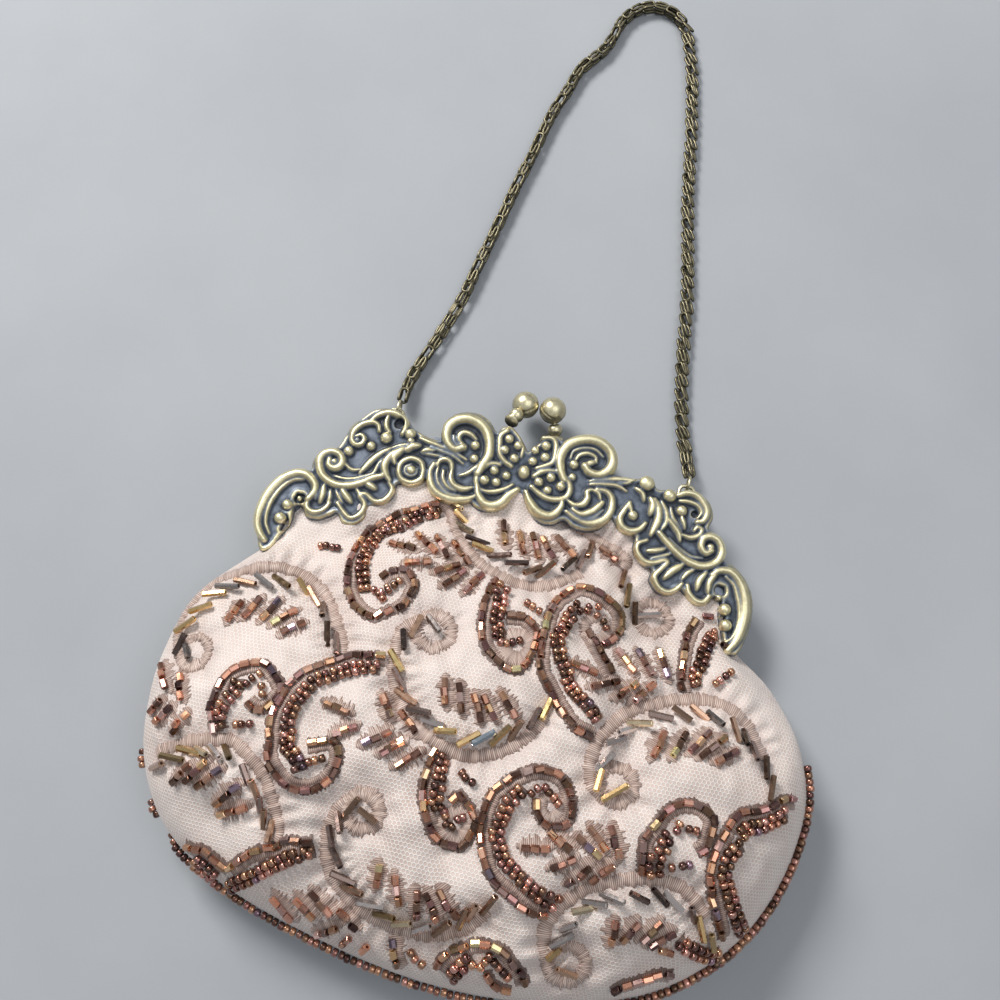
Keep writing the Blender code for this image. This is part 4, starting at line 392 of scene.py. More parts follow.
# The plate's raised strokes: each has its places in such shares, across and up in turn, and then its half width and
# height in millimetres and the share of its width left at its ends.
STROKE_BREADTH = 1.52
STROKE_SKIRT = 1.35
STROKE_ROOT = 0.55
STROKES = (
    (-0.266, 0.784, -0.293, 0.763, -0.323, 0.783, -0.343, 0.831, -0.343, 0.886, -0.319, 0.928, -0.278, 0.952, -0.231,
        0.945, -0.189, 0.907, -0.163, 0.846, -0.155, 0.77, -0.17, 0.707, -0.18, 0.655, 1.35, 1.75, 0.7),
    (-0.314, 0.84, -0.302, 0.799, -0.273, 0.784, 0.6, 0.9, 0.6),
    (-0.264, 0.796, -0.287, 0.817, -0.291, 0.849, -0.274, 0.87, -0.245, 0.866, -0.22, 0.844, 0.8, 1, 0.5),
    (-0.174, 0.818, -0.17, 0.761, -0.188, 0.701, -0.221, 0.648, -0.251, 0.624, 0.65, 0.7, 0.4),
    (-0.103, 0.933, -0.125, 0.892, -0.121, 0.844, -0.112, 0.793, -0.087, 0.756, -0.056, 0.739, 0.85, 1, 0.7),
    (-0.038, 0.882, -0.024, 0.848, -0.024, 0.799, 0.55, 0.6, 0.5),
    (0.048, 0.934, 0.085, 0.94, 0.105, 0.912, 0.111, 0.86, 0.109, 0.81, 0.086, 0.782, 0.049, 0.755, 0.85, 1, 0.6),
    (-0.103, 0.732, -0.137, 0.725, -0.166, 0.694, -0.18, 0.655, -0.179, 0.608, -0.167, 0.578, 0.85, 1, 0.7),
    (-0.16, 0.575, -0.131, 0.566, -0.091, 0.578, -0.055, 0.606, -0.032, 0.637, 0.7, 0.8, 0.5),
    (-0.171, 0.581, -0.158, 0.537, -0.126, 0.499, -0.091, 0.498, -0.061, 0.523, -0.039, 0.573, -0.008, 0.616, 1.15,
        1.35, 0.5),
    (0.046, 0.709, 0.075, 0.744, 0.114, 0.758, 0.153, 0.751, 0.185, 0.717, 0.199, 0.673, 0.189, 0.627, 0.152, 0.604,
        0.111, 0.604, 0.07, 0.625, 0.045, 0.646, 0.85, 1, 0.8),
    (0.027, 0.612, 0.052, 0.562, 0.09, 0.517, 0.133, 0.506, 0.163, 0.529, 0.179, 0.572, 0.18, 0.596, 1.15, 1.35,
        0.45),
    (-0.365, 0.658, -0.372, 0.608, -0.356, 0.545, -0.318, 0.499, -0.261, 0.485, -0.202, 0.503, -0.175, 0.523, 1.1,
        1.1, 0.45),
    (-0.345, 0.652, -0.343, 0.597, -0.322, 0.546, -0.279, 0.51, -0.231, 0.513, 0.6, 0.75, 0.35),
    (-0.321, 0.633, -0.314, 0.586, -0.289, 0.546, -0.252, 0.53, 0.7, 1, 0.35),
    (-0.287, 0.638, -0.284, 0.595, -0.264, 0.561, -0.224, 0.551, -0.19, 0.571, 0.95, 1.25, 0.3),
    (-0.35, 0.651, -0.344, 0.682, -0.32, 0.696, -0.297, 0.681, -0.287, 0.638, 0.75, 1.15, 0.4),
    (0.198, 0.614, 0.232, 0.595, 0.263, 0.611, 0.276, 0.649, 0.27, 0.683, 0.287, 0.704, 0.9, 1.2, 0.3),
    (0.225, 0.571, 0.265, 0.552, 0.305, 0.581, 0.332, 0.627, 0.34, 0.644, 1.05, 1.35, 0.35),
    (0.204, 0.551, 0.246, 0.524, 0.298, 0.513, 0.348, 0.542, 0.377, 0.598, 0.375, 0.669, 0.349, 0.707, 0.307, 0.71, 1,
        1, 0.5),
    (0.284, 0.703, 0.316, 0.689, 0.328, 0.659, 0.6, 0.8, 0.4),
    (0.266, 0.524, 0.316, 0.552, 0.349, 0.604, 0.55, 0.6, 0.4),
    (0.168, 0.721, 0.147, 0.768, 0.134, 0.827, 0.14, 0.888, 0.168, 0.941, 0.222, 0.976, 0.277, 0.978, 0.324, 0.943,
        0.346, 0.886, 0.337, 0.83, 0.305, 0.793, 0.263, 0.796, 0.24, 0.825, 1.35, 1.75, 0.7),
    (0.241, 0.828, 0.259, 0.846, 0.272, 0.859, 0.9, 1.1, 0.5),
    (0.197, 0.846, 0.209, 0.881, 0.24, 0.9, 0.273, 0.889, 0.283, 0.858, 0.6, 0.8, 0.5),
    (0.175, 0.85, 0.182, 0.896, 0.219, 0.926, 0.267, 0.931, 0.306, 0.899, 0.5, 0.5, 0.5),
    (-0.448, 0.785, -0.403, 0.772, -0.352, 0.76, -0.301, 0.746, -0.24, 0.72, 0.75, 0.8, 0.3),
    (-0.399, 0.75, -0.348, 0.736, -0.297, 0.723, -0.249, 0.693, 0.6, 0.7, 0.3),
    (-0.422, 0.7, -0.371, 0.707, -0.322, 0.708, 0.5, 0.5, 0.3),
    (0.271, 0.747, 0.319, 0.768, 0.379, 0.79, 0.446, 0.806, 0.75, 0.8, 0.35),
    (0.274, 0.728, 0.328, 0.746, 0.384, 0.754, 0.425, 0.735, 0.7, 0.8, 0.35),
    (0.446, 0.806, 0.419, 0.778, 0.382, 0.771, 0.5, 0.6, 0.3),
    (-0.554, 0.692, -0.597, 0.636, -0.628, 0.574, -0.651, 0.513, 0.9, 1.1, 0.3),
    (-0.562, 0.646, -0.584, 0.595, -0.594, 0.539, -0.609, 0.505, 0.6, 0.7, 0.3),
    (-0.525, 0.691, -0.55, 0.642, -0.561, 0.587, -0.546, 0.539, -0.524, 0.512, 1.1, 1.4, 0.3),
    (-0.498, 0.709, -0.521, 0.674, -0.531, 0.641, -0.522, 0.613, 1.1, 1.4, 0.3),
    (-0.44, 0.742, -0.469, 0.728, -0.49, 0.694, 1.1, 1.4, 0.3),
    (-0.376, 0.732, -0.405, 0.727, -0.428, 0.709, 0.75, 0.9, 0.3),
    (-0.554, 0.692, -0.517, 0.72, -0.476, 0.736, -0.445, 0.74, 0.6, 0.7, 0.4),
    (-0.66, 0.83, -0.637, 0.866, -0.601, 0.89, -0.56, 0.89, -0.527, 0.862, -0.515, 0.82, -0.523, 0.785, 0.95, 1.5,
        0.5),
    (-0.597, 0.871, -0.6, 0.836, -0.591, 0.8, -0.573, 0.775, 0.75, 1.2, 0.5),
    (-0.619, 0.777, -0.628, 0.805, -0.649, 0.817, -0.682, 0.804, -0.708, 0.773, -0.722, 0.731, -0.717, 0.69, -0.696,
        0.67, -0.674, 0.684, -0.671, 0.715, -0.689, 0.731, -0.704, 0.716, 0.8, 1.2, 0.6),
    (-0.678, 0.824, -0.65, 0.821, -0.62, 0.792, 0.5, 0.8, 0.4),
    (-0.56, 0.527, -0.593, 0.506, -0.629, 0.47, -0.666, 0.442, -0.711, 0.426, -0.755, 0.432, -0.793, 0.457, -0.817,
        0.502, -0.824, 0.552, -0.809, 0.587, -0.777, 0.603, -0.747, 0.591, -0.733, 0.558, -0.74, 0.526, -0.761, 0.512,
        -0.783, 0.527, -0.786, 0.556, 1.1, 1.5, 0.7),
    (-0.589, 0.541, -0.626, 0.508, -0.663, 0.481, -0.704, 0.468, -0.747, 0.471, 0.55, 0.7, 0.4),
    (-0.74, 0.593, -0.715, 0.548, -0.683, 0.527, -0.649, 0.542, 0.5, 0.6, 0.3),
    (-0.826, 0.311, -0.823, 0.271, -0.798, 0.251, -0.768, 0.259, -0.749, 0.286, -0.737, 0.319, 0.75, 0.85, 0.6),
    (-0.707, 0.328, -0.679, 0.293, -0.646, 0.263, -0.619, 0.275, -0.6, 0.313, -0.599, 0.357, -0.624, 0.393, -0.603,
        0.407, -0.566, 0.382, -0.533, 0.391, -0.511, 0.428, -0.506, 0.47, -0.525, 0.501, 0.75, 0.85, 0.6),
    (-0.708, 0.409, -0.68, 0.377, -0.654, 0.348, 0.95, 1.2, 0.35),
    (-0.779, 0.406, -0.774, 0.36, -0.777, 0.311, 0.9, 1.2, 0.35),
    (-0.818, 0.413, -0.802, 0.373, -0.797, 0.323, 0.6, 0.8, 0.35),
    (-0.614, 0.463, -0.595, 0.461, -0.572, 0.45, 0.95, 1.15, 0.35),
    (-0.749, 0.389, -0.743, 0.347, -0.746, 0.309, 0.65, 0.7, 0.3),
    (-0.654, 0.433, -0.633, 0.409, -0.613, 0.364, 0.6, 0.6, 0.3),
    (-0.73, 0.402, -0.709, 0.364, -0.687, 0.334, 0.55, 0.6, 0.3),
    (-0.952, 0.045, -0.983, 0.086, -1.001, 0.145, -1.001, 0.218, -0.991, 0.291, -0.968, 0.36, -0.936, 0.411, -0.897,
        0.442, -0.857, 0.442, -0.824, 0.415, -0.81, 0.378, -0.815, 0.344, -0.827, 0.314, 1.3, 1.5, 0.5),
    (-0.94, 0.084, -0.968, 0.141, -0.973, 0.212, -0.963, 0.285, -0.938, 0.355, -0.904, 0.4, -0.865, 0.415, 0.55, 0.9,
        0.5),
    (0.459, 0.763, 0.49, 0.741, 0.502, 0.701, 0.75, 1, 0.3),
    (0.524, 0.725, 0.541, 0.687, 0.536, 0.633, 1.1, 1.4, 0.3),
    (0.543, 0.722, 0.565, 0.676, 0.571, 0.608, 0.554, 0.525, 1.15, 1.45, 0.35),
    (0.571, 0.722, 0.597, 0.668, 0.605, 0.61, 0.592, 0.563, 0.8, 1, 0.3),
    (0.6, 0.643, 0.634, 0.601, 0.66, 0.566, 0.672, 0.526, 0.9, 1.15, 0.35),
    (0.612, 0.699, 0.628, 0.643, 0.663, 0.593, 0.674, 0.553, 0.6, 0.7, 0.3),
    (0.66, 0.665, 0.672, 0.63, 0.681, 0.598, 0.7, 1, 0.4),
    (0.63, 0.77, 0.668, 0.797, 0.71, 0.79, 0.744, 0.747, 0.758, 0.703, 0.748, 0.66, 0.725, 0.646, 0.95, 1.4, 0.5),
    (0.643, 0.745, 0.68, 0.75, 0.716, 0.739, 0.736, 0.706, 0.724, 0.672, 0.6, 0.9, 0.5),
    (0.673, 0.561, 0.711, 0.555, 0.743, 0.578, 0.749, 0.61, 0.731, 0.62, 0.72, 0.597, 0.75, 1.1, 0.5),
    (0.447, 0.676, 0.431, 0.627, 0.42, 0.58, 0.435, 0.537, 0.47, 0.522, 0.505, 0.541, 0.524, 0.581, 0.9, 1.1, 0.5),
    (0.446, 0.68, 0.455, 0.643, 0.467, 0.616, 0.6, 0.9, 0.5),
    (0.586, 0.543, 0.619, 0.506, 0.661, 0.463, 0.716, 0.424, 0.778, 0.415, 0.826, 0.449, 0.842, 0.509, 0.825, 0.564,
        0.791, 0.584, 0.763, 0.566, 0.758, 0.522, 0.778, 0.49, 0.801, 0.509, 1.1, 1.5, 0.7),
    (0.628, 0.53, 0.671, 0.487, 0.724, 0.456, 0.773, 0.458, 0.5, 0.6, 0.4),
    (0.543, 0.492, 0.51, 0.46, 0.517, 0.411, 0.553, 0.375, 0.592, 0.381, 0.626, 0.402, 0.637, 0.389, 0.613, 0.342,
        0.599, 0.305, 0.618, 0.26, 0.654, 0.24, 0.688, 0.26, 0.71, 0.3, 0.75, 0.85, 0.6),
    (0.732, 0.298, 0.744, 0.256, 0.775, 0.226, 0.805, 0.23, 0.824, 0.268, 0.75, 0.85, 0.6),
    (0.551, 0.434, 0.584, 0.444, 0.618, 0.463, 0.8, 1, 0.35),
    (0.636, 0.307, 0.663, 0.357, 0.7, 0.402, 0.95, 1.2, 0.35),
    (0.705, 0.319, 0.724, 0.363, 0.751, 0.392, 0.6, 0.6, 0.35),
    (0.77, 0.285, 0.775, 0.336, 0.797, 0.389, 0.9, 1.2, 0.35),
    (0.814, 0.281, 0.815, 0.34, 0.836, 0.393, 0.9, 1.2, 0.45),
    (0.571, 0.398, 0.611, 0.422, 0.651, 0.451, 0.55, 0.6, 0.3),
    (0.82, 0.379, 0.846, 0.413, 0.889, 0.417, 0.927, 0.378, 0.954, 0.315, 0.969, 0.228, 0.967, 0.137, 0.952, 0.059,
        0.926, 0.003, 1.3, 1.5, 0.5),
    (0.874, 0.387, 0.909, 0.351, 0.931, 0.291, 0.947, 0.222, 0.949, 0.14, 0.933, 0.07, 0.904, 0.035, 0.55, 0.9, 0.5),
    (-0.4, 0.609, -0.419, 0.65, -0.46, 0.661, -0.494, 0.629, -0.499, 0.579, -0.478, 0.535, -0.436, 0.525, -0.403,
        0.557, -0.4, 0.609, 0.75, 1, 1),
    (-0.455, 0.626, -0.474, 0.606, -0.471, 0.573, -0.448, 0.561, -0.427, 0.579, -0.427, 0.608, 0.5, 0.7, 0.7),
)
# Round studs and knobs: place, and radius in millimetres.
STUD_HEIGHT = 2.3
STUDS = (
    (-0.218, 0.81, 1.59), (-0.209, 0.734, 1.59), (-0.088, 0.888, 1.64), (-0.045, 0.86, 1.59),
    (-0.097, 0.819, 1.7), (-0.05, 0.784, 1.64), (0.067, 0.893, 1.7), (0.027, 0.854, 1.44),
    (0.073, 0.826, 1.7), (0.027, 0.789, 1.59), (-0.118, 0.694, 1.59), (-0.065, 0.678, 1.49),
    (-0.149, 0.628, 1.75), (-0.099, 0.63, 1.54), (0.114, 0.722, 1.7), (0.069, 0.682, 1.64),
    (0.111, 0.645, 1.54), (0.161, 0.684, 1.75), (0.194, 0.821, 1.64), (0.198, 0.748, 1.39),
    (-0.719, 0.625, 1.74), (-0.636, 0.681, 1.66), (-0.583, 0.746, 2.06), (-0.49, 0.795, 1.98),
    (-0.48, 0.755, 1.42), (-0.697, 0.698, 1.03), (-0.764, 0.549, 1.34), (-0.902, 0.259, 1.78),
    (-0.915, 0.178, 1.98), (-0.861, 0.308, 0.99), (0.5, 0.802, 2.66), (0.6, 0.761, 2.28),
    (0.657, 0.691, 1.9), (0.468, 0.608, 1.71), (0.796, 0.525, 1.42), (0.892, 0.213, 1.99),
    (0.905, 0.131, 1.99), (0.861, 0.269, 1.04), (-0.449, 0.594, 1.75),
)
# Openwork: closed outlines cut through the plate on both sides.
HOLES = (
    ((0.875, 0.33), (0.85, 0.33), (0.845, 0.3), (0.865, 0.285), (0.88, 0.3)),
    ((0.895, 0.2), (0.882, 0.17), (0.888, 0.13), (0.9, 0.12), (0.895, 0.16)),
)
# Round hollows that look dark: place, and radius in millimetres.
HOLLOWS = ((-0.548, 0.843, 2.3), (0.712, 0.692, 1.6))
CENTRE_OVAL = (0.002, 0.717, 2.0, 2.5)


# ---- paths ----


def smooth_path(places, steps):
    """A Catmull-Rom curve through the places, with a number of steps between each two."""
    p = np.asarray(places, float)
    ends = np.vstack([2 * p[0] - p[1], p, 2 * p[-1] - p[-2]])
    t = (np.arange(steps) / steps)[:, None]
    parts = []
    for i in range(len(p) - 1):
        a, b, c, d = ends[i : i + 4]
        parts.append(b + (c - a) * t / 2 + (2 * a - 5 * b + 4 * c - d) * t * t / 2 + (3 * b - a - 3 * c + d) * t**3 / 2)
    return np.vstack(parts + [p[-1:]])


def stations(path):
    return np.concatenate([[0], np.cumsum(np.linalg.norm(np.diff(path, axis=0), axis=1))])


def at_lengths(path, wanted):
    lengths = stations(path)
    return np.stack([np.interp(wanted, lengths, path[:, k]) for k in range(path.shape[1])], axis=1)


def evenly(path, spacing):
    """Points about that far apart along a path, its ends among them."""
    total = stations(path)[-1]
    return at_lengths(path, np.linspace(0, total, max(2, int(round(total / spacing)) + 1)))


def directions(path):
    run = np.gradient(path, axis=0)
    return run / np.maximum(np.linalg.norm(run, axis=1, keepdims=True), 1e-9)


def eased(value):
    held = np.clip(value, 0, 1)
    return held * held * (3 - 2 * held)


def distance_to(path, x, y):
    """The least distance from each place to a flat path."""
    best = np.full(np.shape(x), 1e9)
    for (ax, ay), (bx, by) in zip(path[:-1, :2], path[1:, :2]):
        rx, ry = bx - ax, by - ay
        share = np.clip(((x - ax) * rx + (y - ay) * ry) / max(rx * rx + ry * ry, 1e-12), 0, 1)
        best = np.minimum(best, (x - ax - rx * share) ** 2 + (y - ay - ry * share) ** 2)
    return np.sqrt(best)


def inside(polygon, x, y):
    """Whether each place is inside a closed outline."""
    within = np.zeros(np.shape(x), bool)
    for (ax, ay), (bx, by) in zip(polygon, np.roll(polygon, -1, axis=0)):
        if ay != by:
            crosses = (ay > y) != (by > y)
            within ^= crosses & (x < (bx - ax) * (y - ay) / (by - ay) + ax)
    return within


def on_frame(shares, side=1):
    """Places in millimetres from shares of the frame's half width and of the arch's rise."""
    places = np.asarray(shares, float).reshape(-1, 2)
    return np.stack([side * places[:, 0] * FRAME_HALF_WIDTH, HINGE_Y + places[:, 1] * ARCH_RISE], axis=1)


arch_half = on_frame(ARCH)
arch_places = np.vstack([arch_half * (-1, 1), on_frame([ARCH_TOP]), arch_half[::-1]])
arch = smooth_path(arch_places, 3)
crown_arch = arch[np.abs(arch[:, 0]) <= CROWN_ARCH_REACH]
outline = smooth_path(BODY_OUTLINE, 4)


# ---- camera ----


def camera_axes():
    c, s = math.cos(CAMERA_TURN), math.sin(CAMERA_TURN)
    right = np.array((c, s, 0))
    level = np.array((-s, c, 0))
    rise = np.array((0, 0, 1))
    up = level * math.cos(CAMERA_TILT) + rise * math.sin(CAMERA_TILT)
    ahead = level * math.sin(CAMERA_TILT) - rise * math.cos(CAMERA_TILT)
    return right, up, ahead


AXIS_RIGHT, AXIS_UP, AXIS_AHEAD = camera_axes()
CAMERA_PLACE = CAMERA_AIM - AXIS_AHEAD * CAMERA_DISTANCE


def make_camera():
    data = bpy.data.cameras.new("camera")
    data.sensor_width = data.sensor_height = SENSOR_SIDE
    data.sensor_fit = "HORIZONTAL"
    data.lens = SENSOR_SIDE * FOCAL_PIXELS / PICTURE_SIDE
    data.clip_start, data.clip_end = CAMERA_RANGE_METRES
    camera = bpy.data.objects.new("camera", data)
    bpy.context.scene.collection.objects.link(camera)
    columns = np.eye(4)
    columns[:3, 0], columns[:3, 1], columns[:3, 2] = AXIS_RIGHT, AXIS_UP, -AXIS_AHEAD
    columns[:3, 3] = CAMERA_PLACE * METRE
    camera.matrix_world = Matrix(columns.tolist())
    bpy.context.scene.camera = camera


def seen_at(pixels, height):
    """Where the lines of sight through pixels of the picture meet a height."""
    middle = PICTURE_SIDE / 2
    across = (pixels[:, 0] - middle) / FOCAL_PIXELS
    down = (pixels[:, 1] - middle) / FOCAL_PIXELS
    sight = AXIS_AHEAD + across[:, None] * AXIS_RIGHT - down[:, None] * AXIS_UP
    reach = (height - CAMERA_PLACE[2]) / sight[:, 2]
    return CAMERA_PLACE[:2] + sight[:, :2] * reach[:, None]


# ---- meshes ----


def make_object(name, places, faces, material, smooth=True):
    mesh = bpy.data.meshes.new(name)
    if isinstance(faces, np.ndarray):
        faces = faces.tolist()
    mesh.from_pydata((np.asarray(places) * METRE).tolist(), [], faces)
    mesh.update()
    mesh.polygons.foreach_set("use_smooth", [smooth] * len(mesh.polygons))
    mesh.materials.append(material)
    made = bpy.data.objects.new(name, mesh)
    bpy.context.scene.collection.objects.link(made)
    return made


def add_values(made, name, values):
    attribute = made.data.attributes.new(name, "FLOAT", "POINT")
    attribute.data.foreach_set("value", np.asarray(values, np.float32).ravel())


def add_colours(made, name, colours):
    colours = np.asarray(colours, np.float32)
    full = np.ones((len(colours), 4), np.float32)
    full[:, :3] = colours
    attribute = made.data.color_attributes.new(name, "FLOAT_COLOR", "POINT")
    attribute.data.foreach_set("color", full.ravel())


def add_map(made, name, flat):
    """A flat place for each vertex, in millimetres, kept as a map."""
    layer = made.data.uv_layers.new(name=name)
    corners = np.empty(len(made.data.loops), np.int32)
    made.data.loops.foreach_get("vertex_index", corners)
    layer.data.foreach_set("uv", np.asarray(flat, np.float32)[corners].ravel())


def settle(made, body, slot, *nodes):
    """Puts a piece on its body and in the place of its CAD nodes. Its slot is not used."""
    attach(made, body)
    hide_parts(*nodes)


def grid_faces(rows, columns, closed_rows=False, closed_columns=False):
    """Four-sided faces of a grid whose vertices run along its columns first."""
    r = np.arange(rows if closed_rows else rows - 1)
    c = np.arange(columns if closed_columns else columns - 1)
    rr, cc = np.meshgrid(r, c, indexing="ij")
    r2, c2 = (rr + 1) % rows, (cc + 1) % columns
    corners = [rr * columns + cc, rr * columns + c2, r2 * columns + c2, r2 * columns + cc]
    return np.stack(corners, axis=-1).reshape(-1, 4)


def carried_frames(path):
    """Directions along and across a path, the second carried along it without twist."""
    tangents = directions(path)
    across = np.empty_like(tangents)
    up = np.array(UPWARD)
    for i, t in enumerate(tangents):
        up = up - t * (up @ t)
        up /= max(np.linalg.norm(up), 1e-9)
        across[i] = up
    return tangents, across, np.cross(tangents, across)


def full_turn(count):
    """Angles set evenly round a circle."""
    return np.arange(count) * 2 * np.pi / count


def on_circle(turn, first, second):
    """Directions at each angle between two that are square to each other."""
    return np.cos(turn)[:, None] * first + np.sin(turn)[:, None] * second


def swept(path, radius, sides, closed=False):
    """Vertices and faces of a round wire along a path."""
    _, a, b = closed_frames(path) if closed else carried_frames(path)
    turn = full_turn(sides)
    ring = np.cos(turn)[None, :, None] * a[:, None, :] + np.sin(turn)[None, :, None] * b[:, None, :]
    places = (path[:, None, :] + ring * radius).reshape(-1, 3)
    faces = grid_faces(len(path), sides, closed_rows=closed, closed_columns=True).tolist()
    if not closed:
        faces.append(list(range(sides))[::-1])
        last = (len(path) - 1) * sides
        faces.append([last + k for k in range(sides)])
    return places, faces


def closed_frames(path):
    """Directions along, out of and across a path that ends where it starts."""
    tangents = np.roll(path, -1, axis=0) - np.roll(path, 1, axis=0)
    tangents /= np.linalg.norm(tangents, axis=1, keepdims=True)
    out = path - path.mean(axis=0)
    out -= tangents * (out * tangents).sum(axis=1, keepdims=True)
    out /= np.linalg.norm(out, axis=1, keepdims=True)
    return tangents, out, np.cross(tangents, out)


def revolved(profile, foot, tip, sides):
    """A round piece turned about the line from foot to tip. The profile gives distances along it and radii."""
    foot, tip = np.asarray(foot, float), np.asarray(tip, float)
    axis = (tip - foot) / np.linalg.norm(tip - foot)
    side = np.cross(axis, (0.3, 0.2, 1))
    side /= np.linalg.norm(side)
    ring = on_circle(full_turn(sides), side, np.cross(axis, side))
    profile = np.asarray(profile, float)
    places = foot + profile[:, 0, None, None] * axis + profile[:, 1, None, None] * ring[None]
    faces = grid_faces(len(profile), sides, closed_columns=True)
    return places.reshape(-1, 3), faces[:, ::-1]


def joined(parts):
    """Several sets of vertices and faces as one."""
    places, faces, count = [], [], 0
    for part_places, part_faces in parts:
        places.append(part_places)
        part_faces = part_faces.tolist() if isinstance(part_faces, np.ndarray) else part_faces
        faces += [[count + k for k in face] for face in part_faces]
        count += len(part_places)
    return np.vstack(places), faces


def repeated(unit, unit_faces, centres, along, up, sizes):
    """Copies of one small mesh, each at its centre, turned to its own directions and stretched to its size."""
    axes = (along, np.cross(up, along), up)
    places = centres[:, None, :]
    for k, axis in enumerate(axes):
        places = places + unit[None, :, k, None] * (axis * sizes[:, k : k + 1])[:, None, :]
    faces = unit_faces[None] + (np.arange(len(centres)) * len(unit))[:, None, None]
    return places.reshape(-1, 3), faces.reshape(-1, 4)


# ---- materials ----


class Shader:
    """A material's nodes, made with short calls."""

    def __init__(self, name):
        self.material = bpy.data.materials.new(name)
        self.material.use_nodes = True
        self.tree = self.material.node_tree
        self.surface = self.tree.nodes["Principled BSDF"]

    def feed(self, socket, value):
        """Joins another node's output to a socket, or sets the socket's value."""
        if isinstance(value, bpy.types.NodeSocket):
            self.tree.links.new(value, socket)
        else:
            socket.default_value = value

    def node(self, kind, inputs=None, **settings):
        made = self.tree.nodes.new(kind)
        for key, value in settings.items():
            setattr(made, key, value)
        for key, value in (inputs or {}).items():
            self.feed(made.inputs[key], value)
        return made

    def set(self, **values):
        for key, value in values.items():
            self.feed(self.surface.inputs[key.replace("_", " ")], value)

    def math(self, operation, a, b):
        return self.node("ShaderNodeMath", {0: a, 1: b}, operation=operation).outputs[0]

    def vector(self, operation, a, b=(0, 0, 0), output=0):
        return self.node("ShaderNodeVectorMath", {0: a, 1: b}, operation=operation).outputs[output]

    def noise(self, scale, detail=3.0, roughness=0.55):
        where = self.node("ShaderNodeTexCoord").outputs["Object"]
        inputs = {"Scale": scale, "Detail": detail, "Roughness": roughness, "Vector": where}
        return self.node("ShaderNodeTexNoise", inputs).outputs["Fac"]

    def ramp(self, value, *stops):
        made = self.node("ShaderNodeValToRGB", {"Fac": value})
        ramp = made.color_ramp
        while len(ramp.elements) < len(stops):
            ramp.elements.new(0.5)
        for element, (position, colour) in zip(ramp.elements, stops):
            element.position = position
            element.color = (*colour, 1)
        return made.outputs["Color"]

    def two_tones(self, noise, dark, pale):
        return self.ramp(noise, (0.3, dark), (0.7, pale))

    def spread(self, value, low, high, to_low=0.0, to_high=1.0, kind="SMOOTHSTEP"):
        inputs = {"Value": value, "From Min": low, "From Max": high, "To Min": to_low, "To Max": to_high}
        return self.node("ShaderNodeMapRange", inputs, interpolation_type=kind).outputs["Result"]

    def evenly(self, noise, low, high):
        """A noise's usual values, from 0.3 to 0.7, spread between two others."""
        return self.spread(noise, 0.3, 0.7, low, high, "LINEAR")

    def shifted(self, value, noise, share):
        """A value moved up and down by a share of a noise."""
        return self.math("ADD", value, self.math("MULTIPLY", self.math("SUBTRACT", noise, 0.5), share))

    def mix(self, share, a, b):
        made = self.node("ShaderNodeMix", data_type="RGBA", blend_type="MIX")
        for index, value in ((0, share), (6, a), (7, b)):
            self.feed(made.inputs[index], (*value, 1) if isinstance(value, tuple) else value)
        return made.outputs[2]

    def bump(self, height, distance, strength):
        inputs = {"Height": height, "Distance": distance, "Strength": strength}
        return self.node("ShaderNodeBump", inputs).outputs["Normal"]

    def cast_bump(self, fine, cloud, distance):
        return self.bump(self.math("ADD", self.math("MULTIPLY", fine, 0.4), cloud), distance, 0.5)

    def attribute(self, name, output="Fac"):
        return self.node("ShaderNodeAttribute", attribute_name=name).outputs[output]


def brass_material(name, patina_and_painted_shade, middle, crest, roughness):
    """Antiqued brass with painted light: pale where it faces up, dark where it faces down, and flecked and patched with
    patina.
    """
    s = Shader(name)
    cloud = s.noise(260.0, 4.0, 0.6)
    fine = s.noise(1500.0, 3.0, 0.6)
    # Painted light and shade: the tone follows how far the surface faces up, moved by random patches.
    patina_and_painted_light = s.shifted(facing_up(s), cloud, 0.5)
    colour = s.ramp(patina_and_painted_light, (0.12, patina_and_painted_shade), (0.48, middle), (0.85, crest))
    s.set(
        Base_Color=s.mix(s.spread(fine, 0.35, 0.7, 0.0, 0.25), colour, patina_and_painted_shade),
        Metallic=0.85,
        Roughness=s.evenly(cloud, *roughness),
        Normal=s.cast_bump(fine, cloud, 0.00012),
    )
    return s.material


def cast_material():
    """Cast brass under a slate-blue patina that is rubbed away on the raised work, with painted shade darkest in its
    narrow grooves.
    """
    s = Shader("cast_antique_brass")
    wear_and_painted_shade = s.attribute("wear_and_painted_shade")
    cloud = s.noise(330.0, 4.0, 0.62)
    broad = s.noise(90.0)
    fine = s.noise(1700.0, 3.0, 0.6)
    patina_and_painted_light = s.shifted(s.shifted(wear_and_painted_shade, cloud, 0.55), broad, 0.3)
    s.set(
        Base_Color=s.mix(s.spread(fine, 0.4, 0.75, 0.0, 0.22), s.ramp(patina_and_painted_light, *CAST_TONES), CAST_SHADE),
        Metallic=s.spread(patina_and_painted_light, 0.3, 0.75, 0.35, 0.92),
        Roughness=s.evenly(cloud, 0.34, 0.5),
        Normal=s.cast_bump(fine, cloud, 0.00014),
    )
    return s.material


def facing_up(s):
    """How far the surface faces out of the ground, from 0 to 1: the mask that paints light on what faces up and shade
    on what faces down.
    """
    normal = s.node("ShaderNodeNewGeometry").outputs["Normal"]
    height = s.node("ShaderNodeSeparateXYZ", {"Vector": normal}).outputs["Z"]
    return s.spread(height, -0.4, 1.0, 0.1, 0.85)


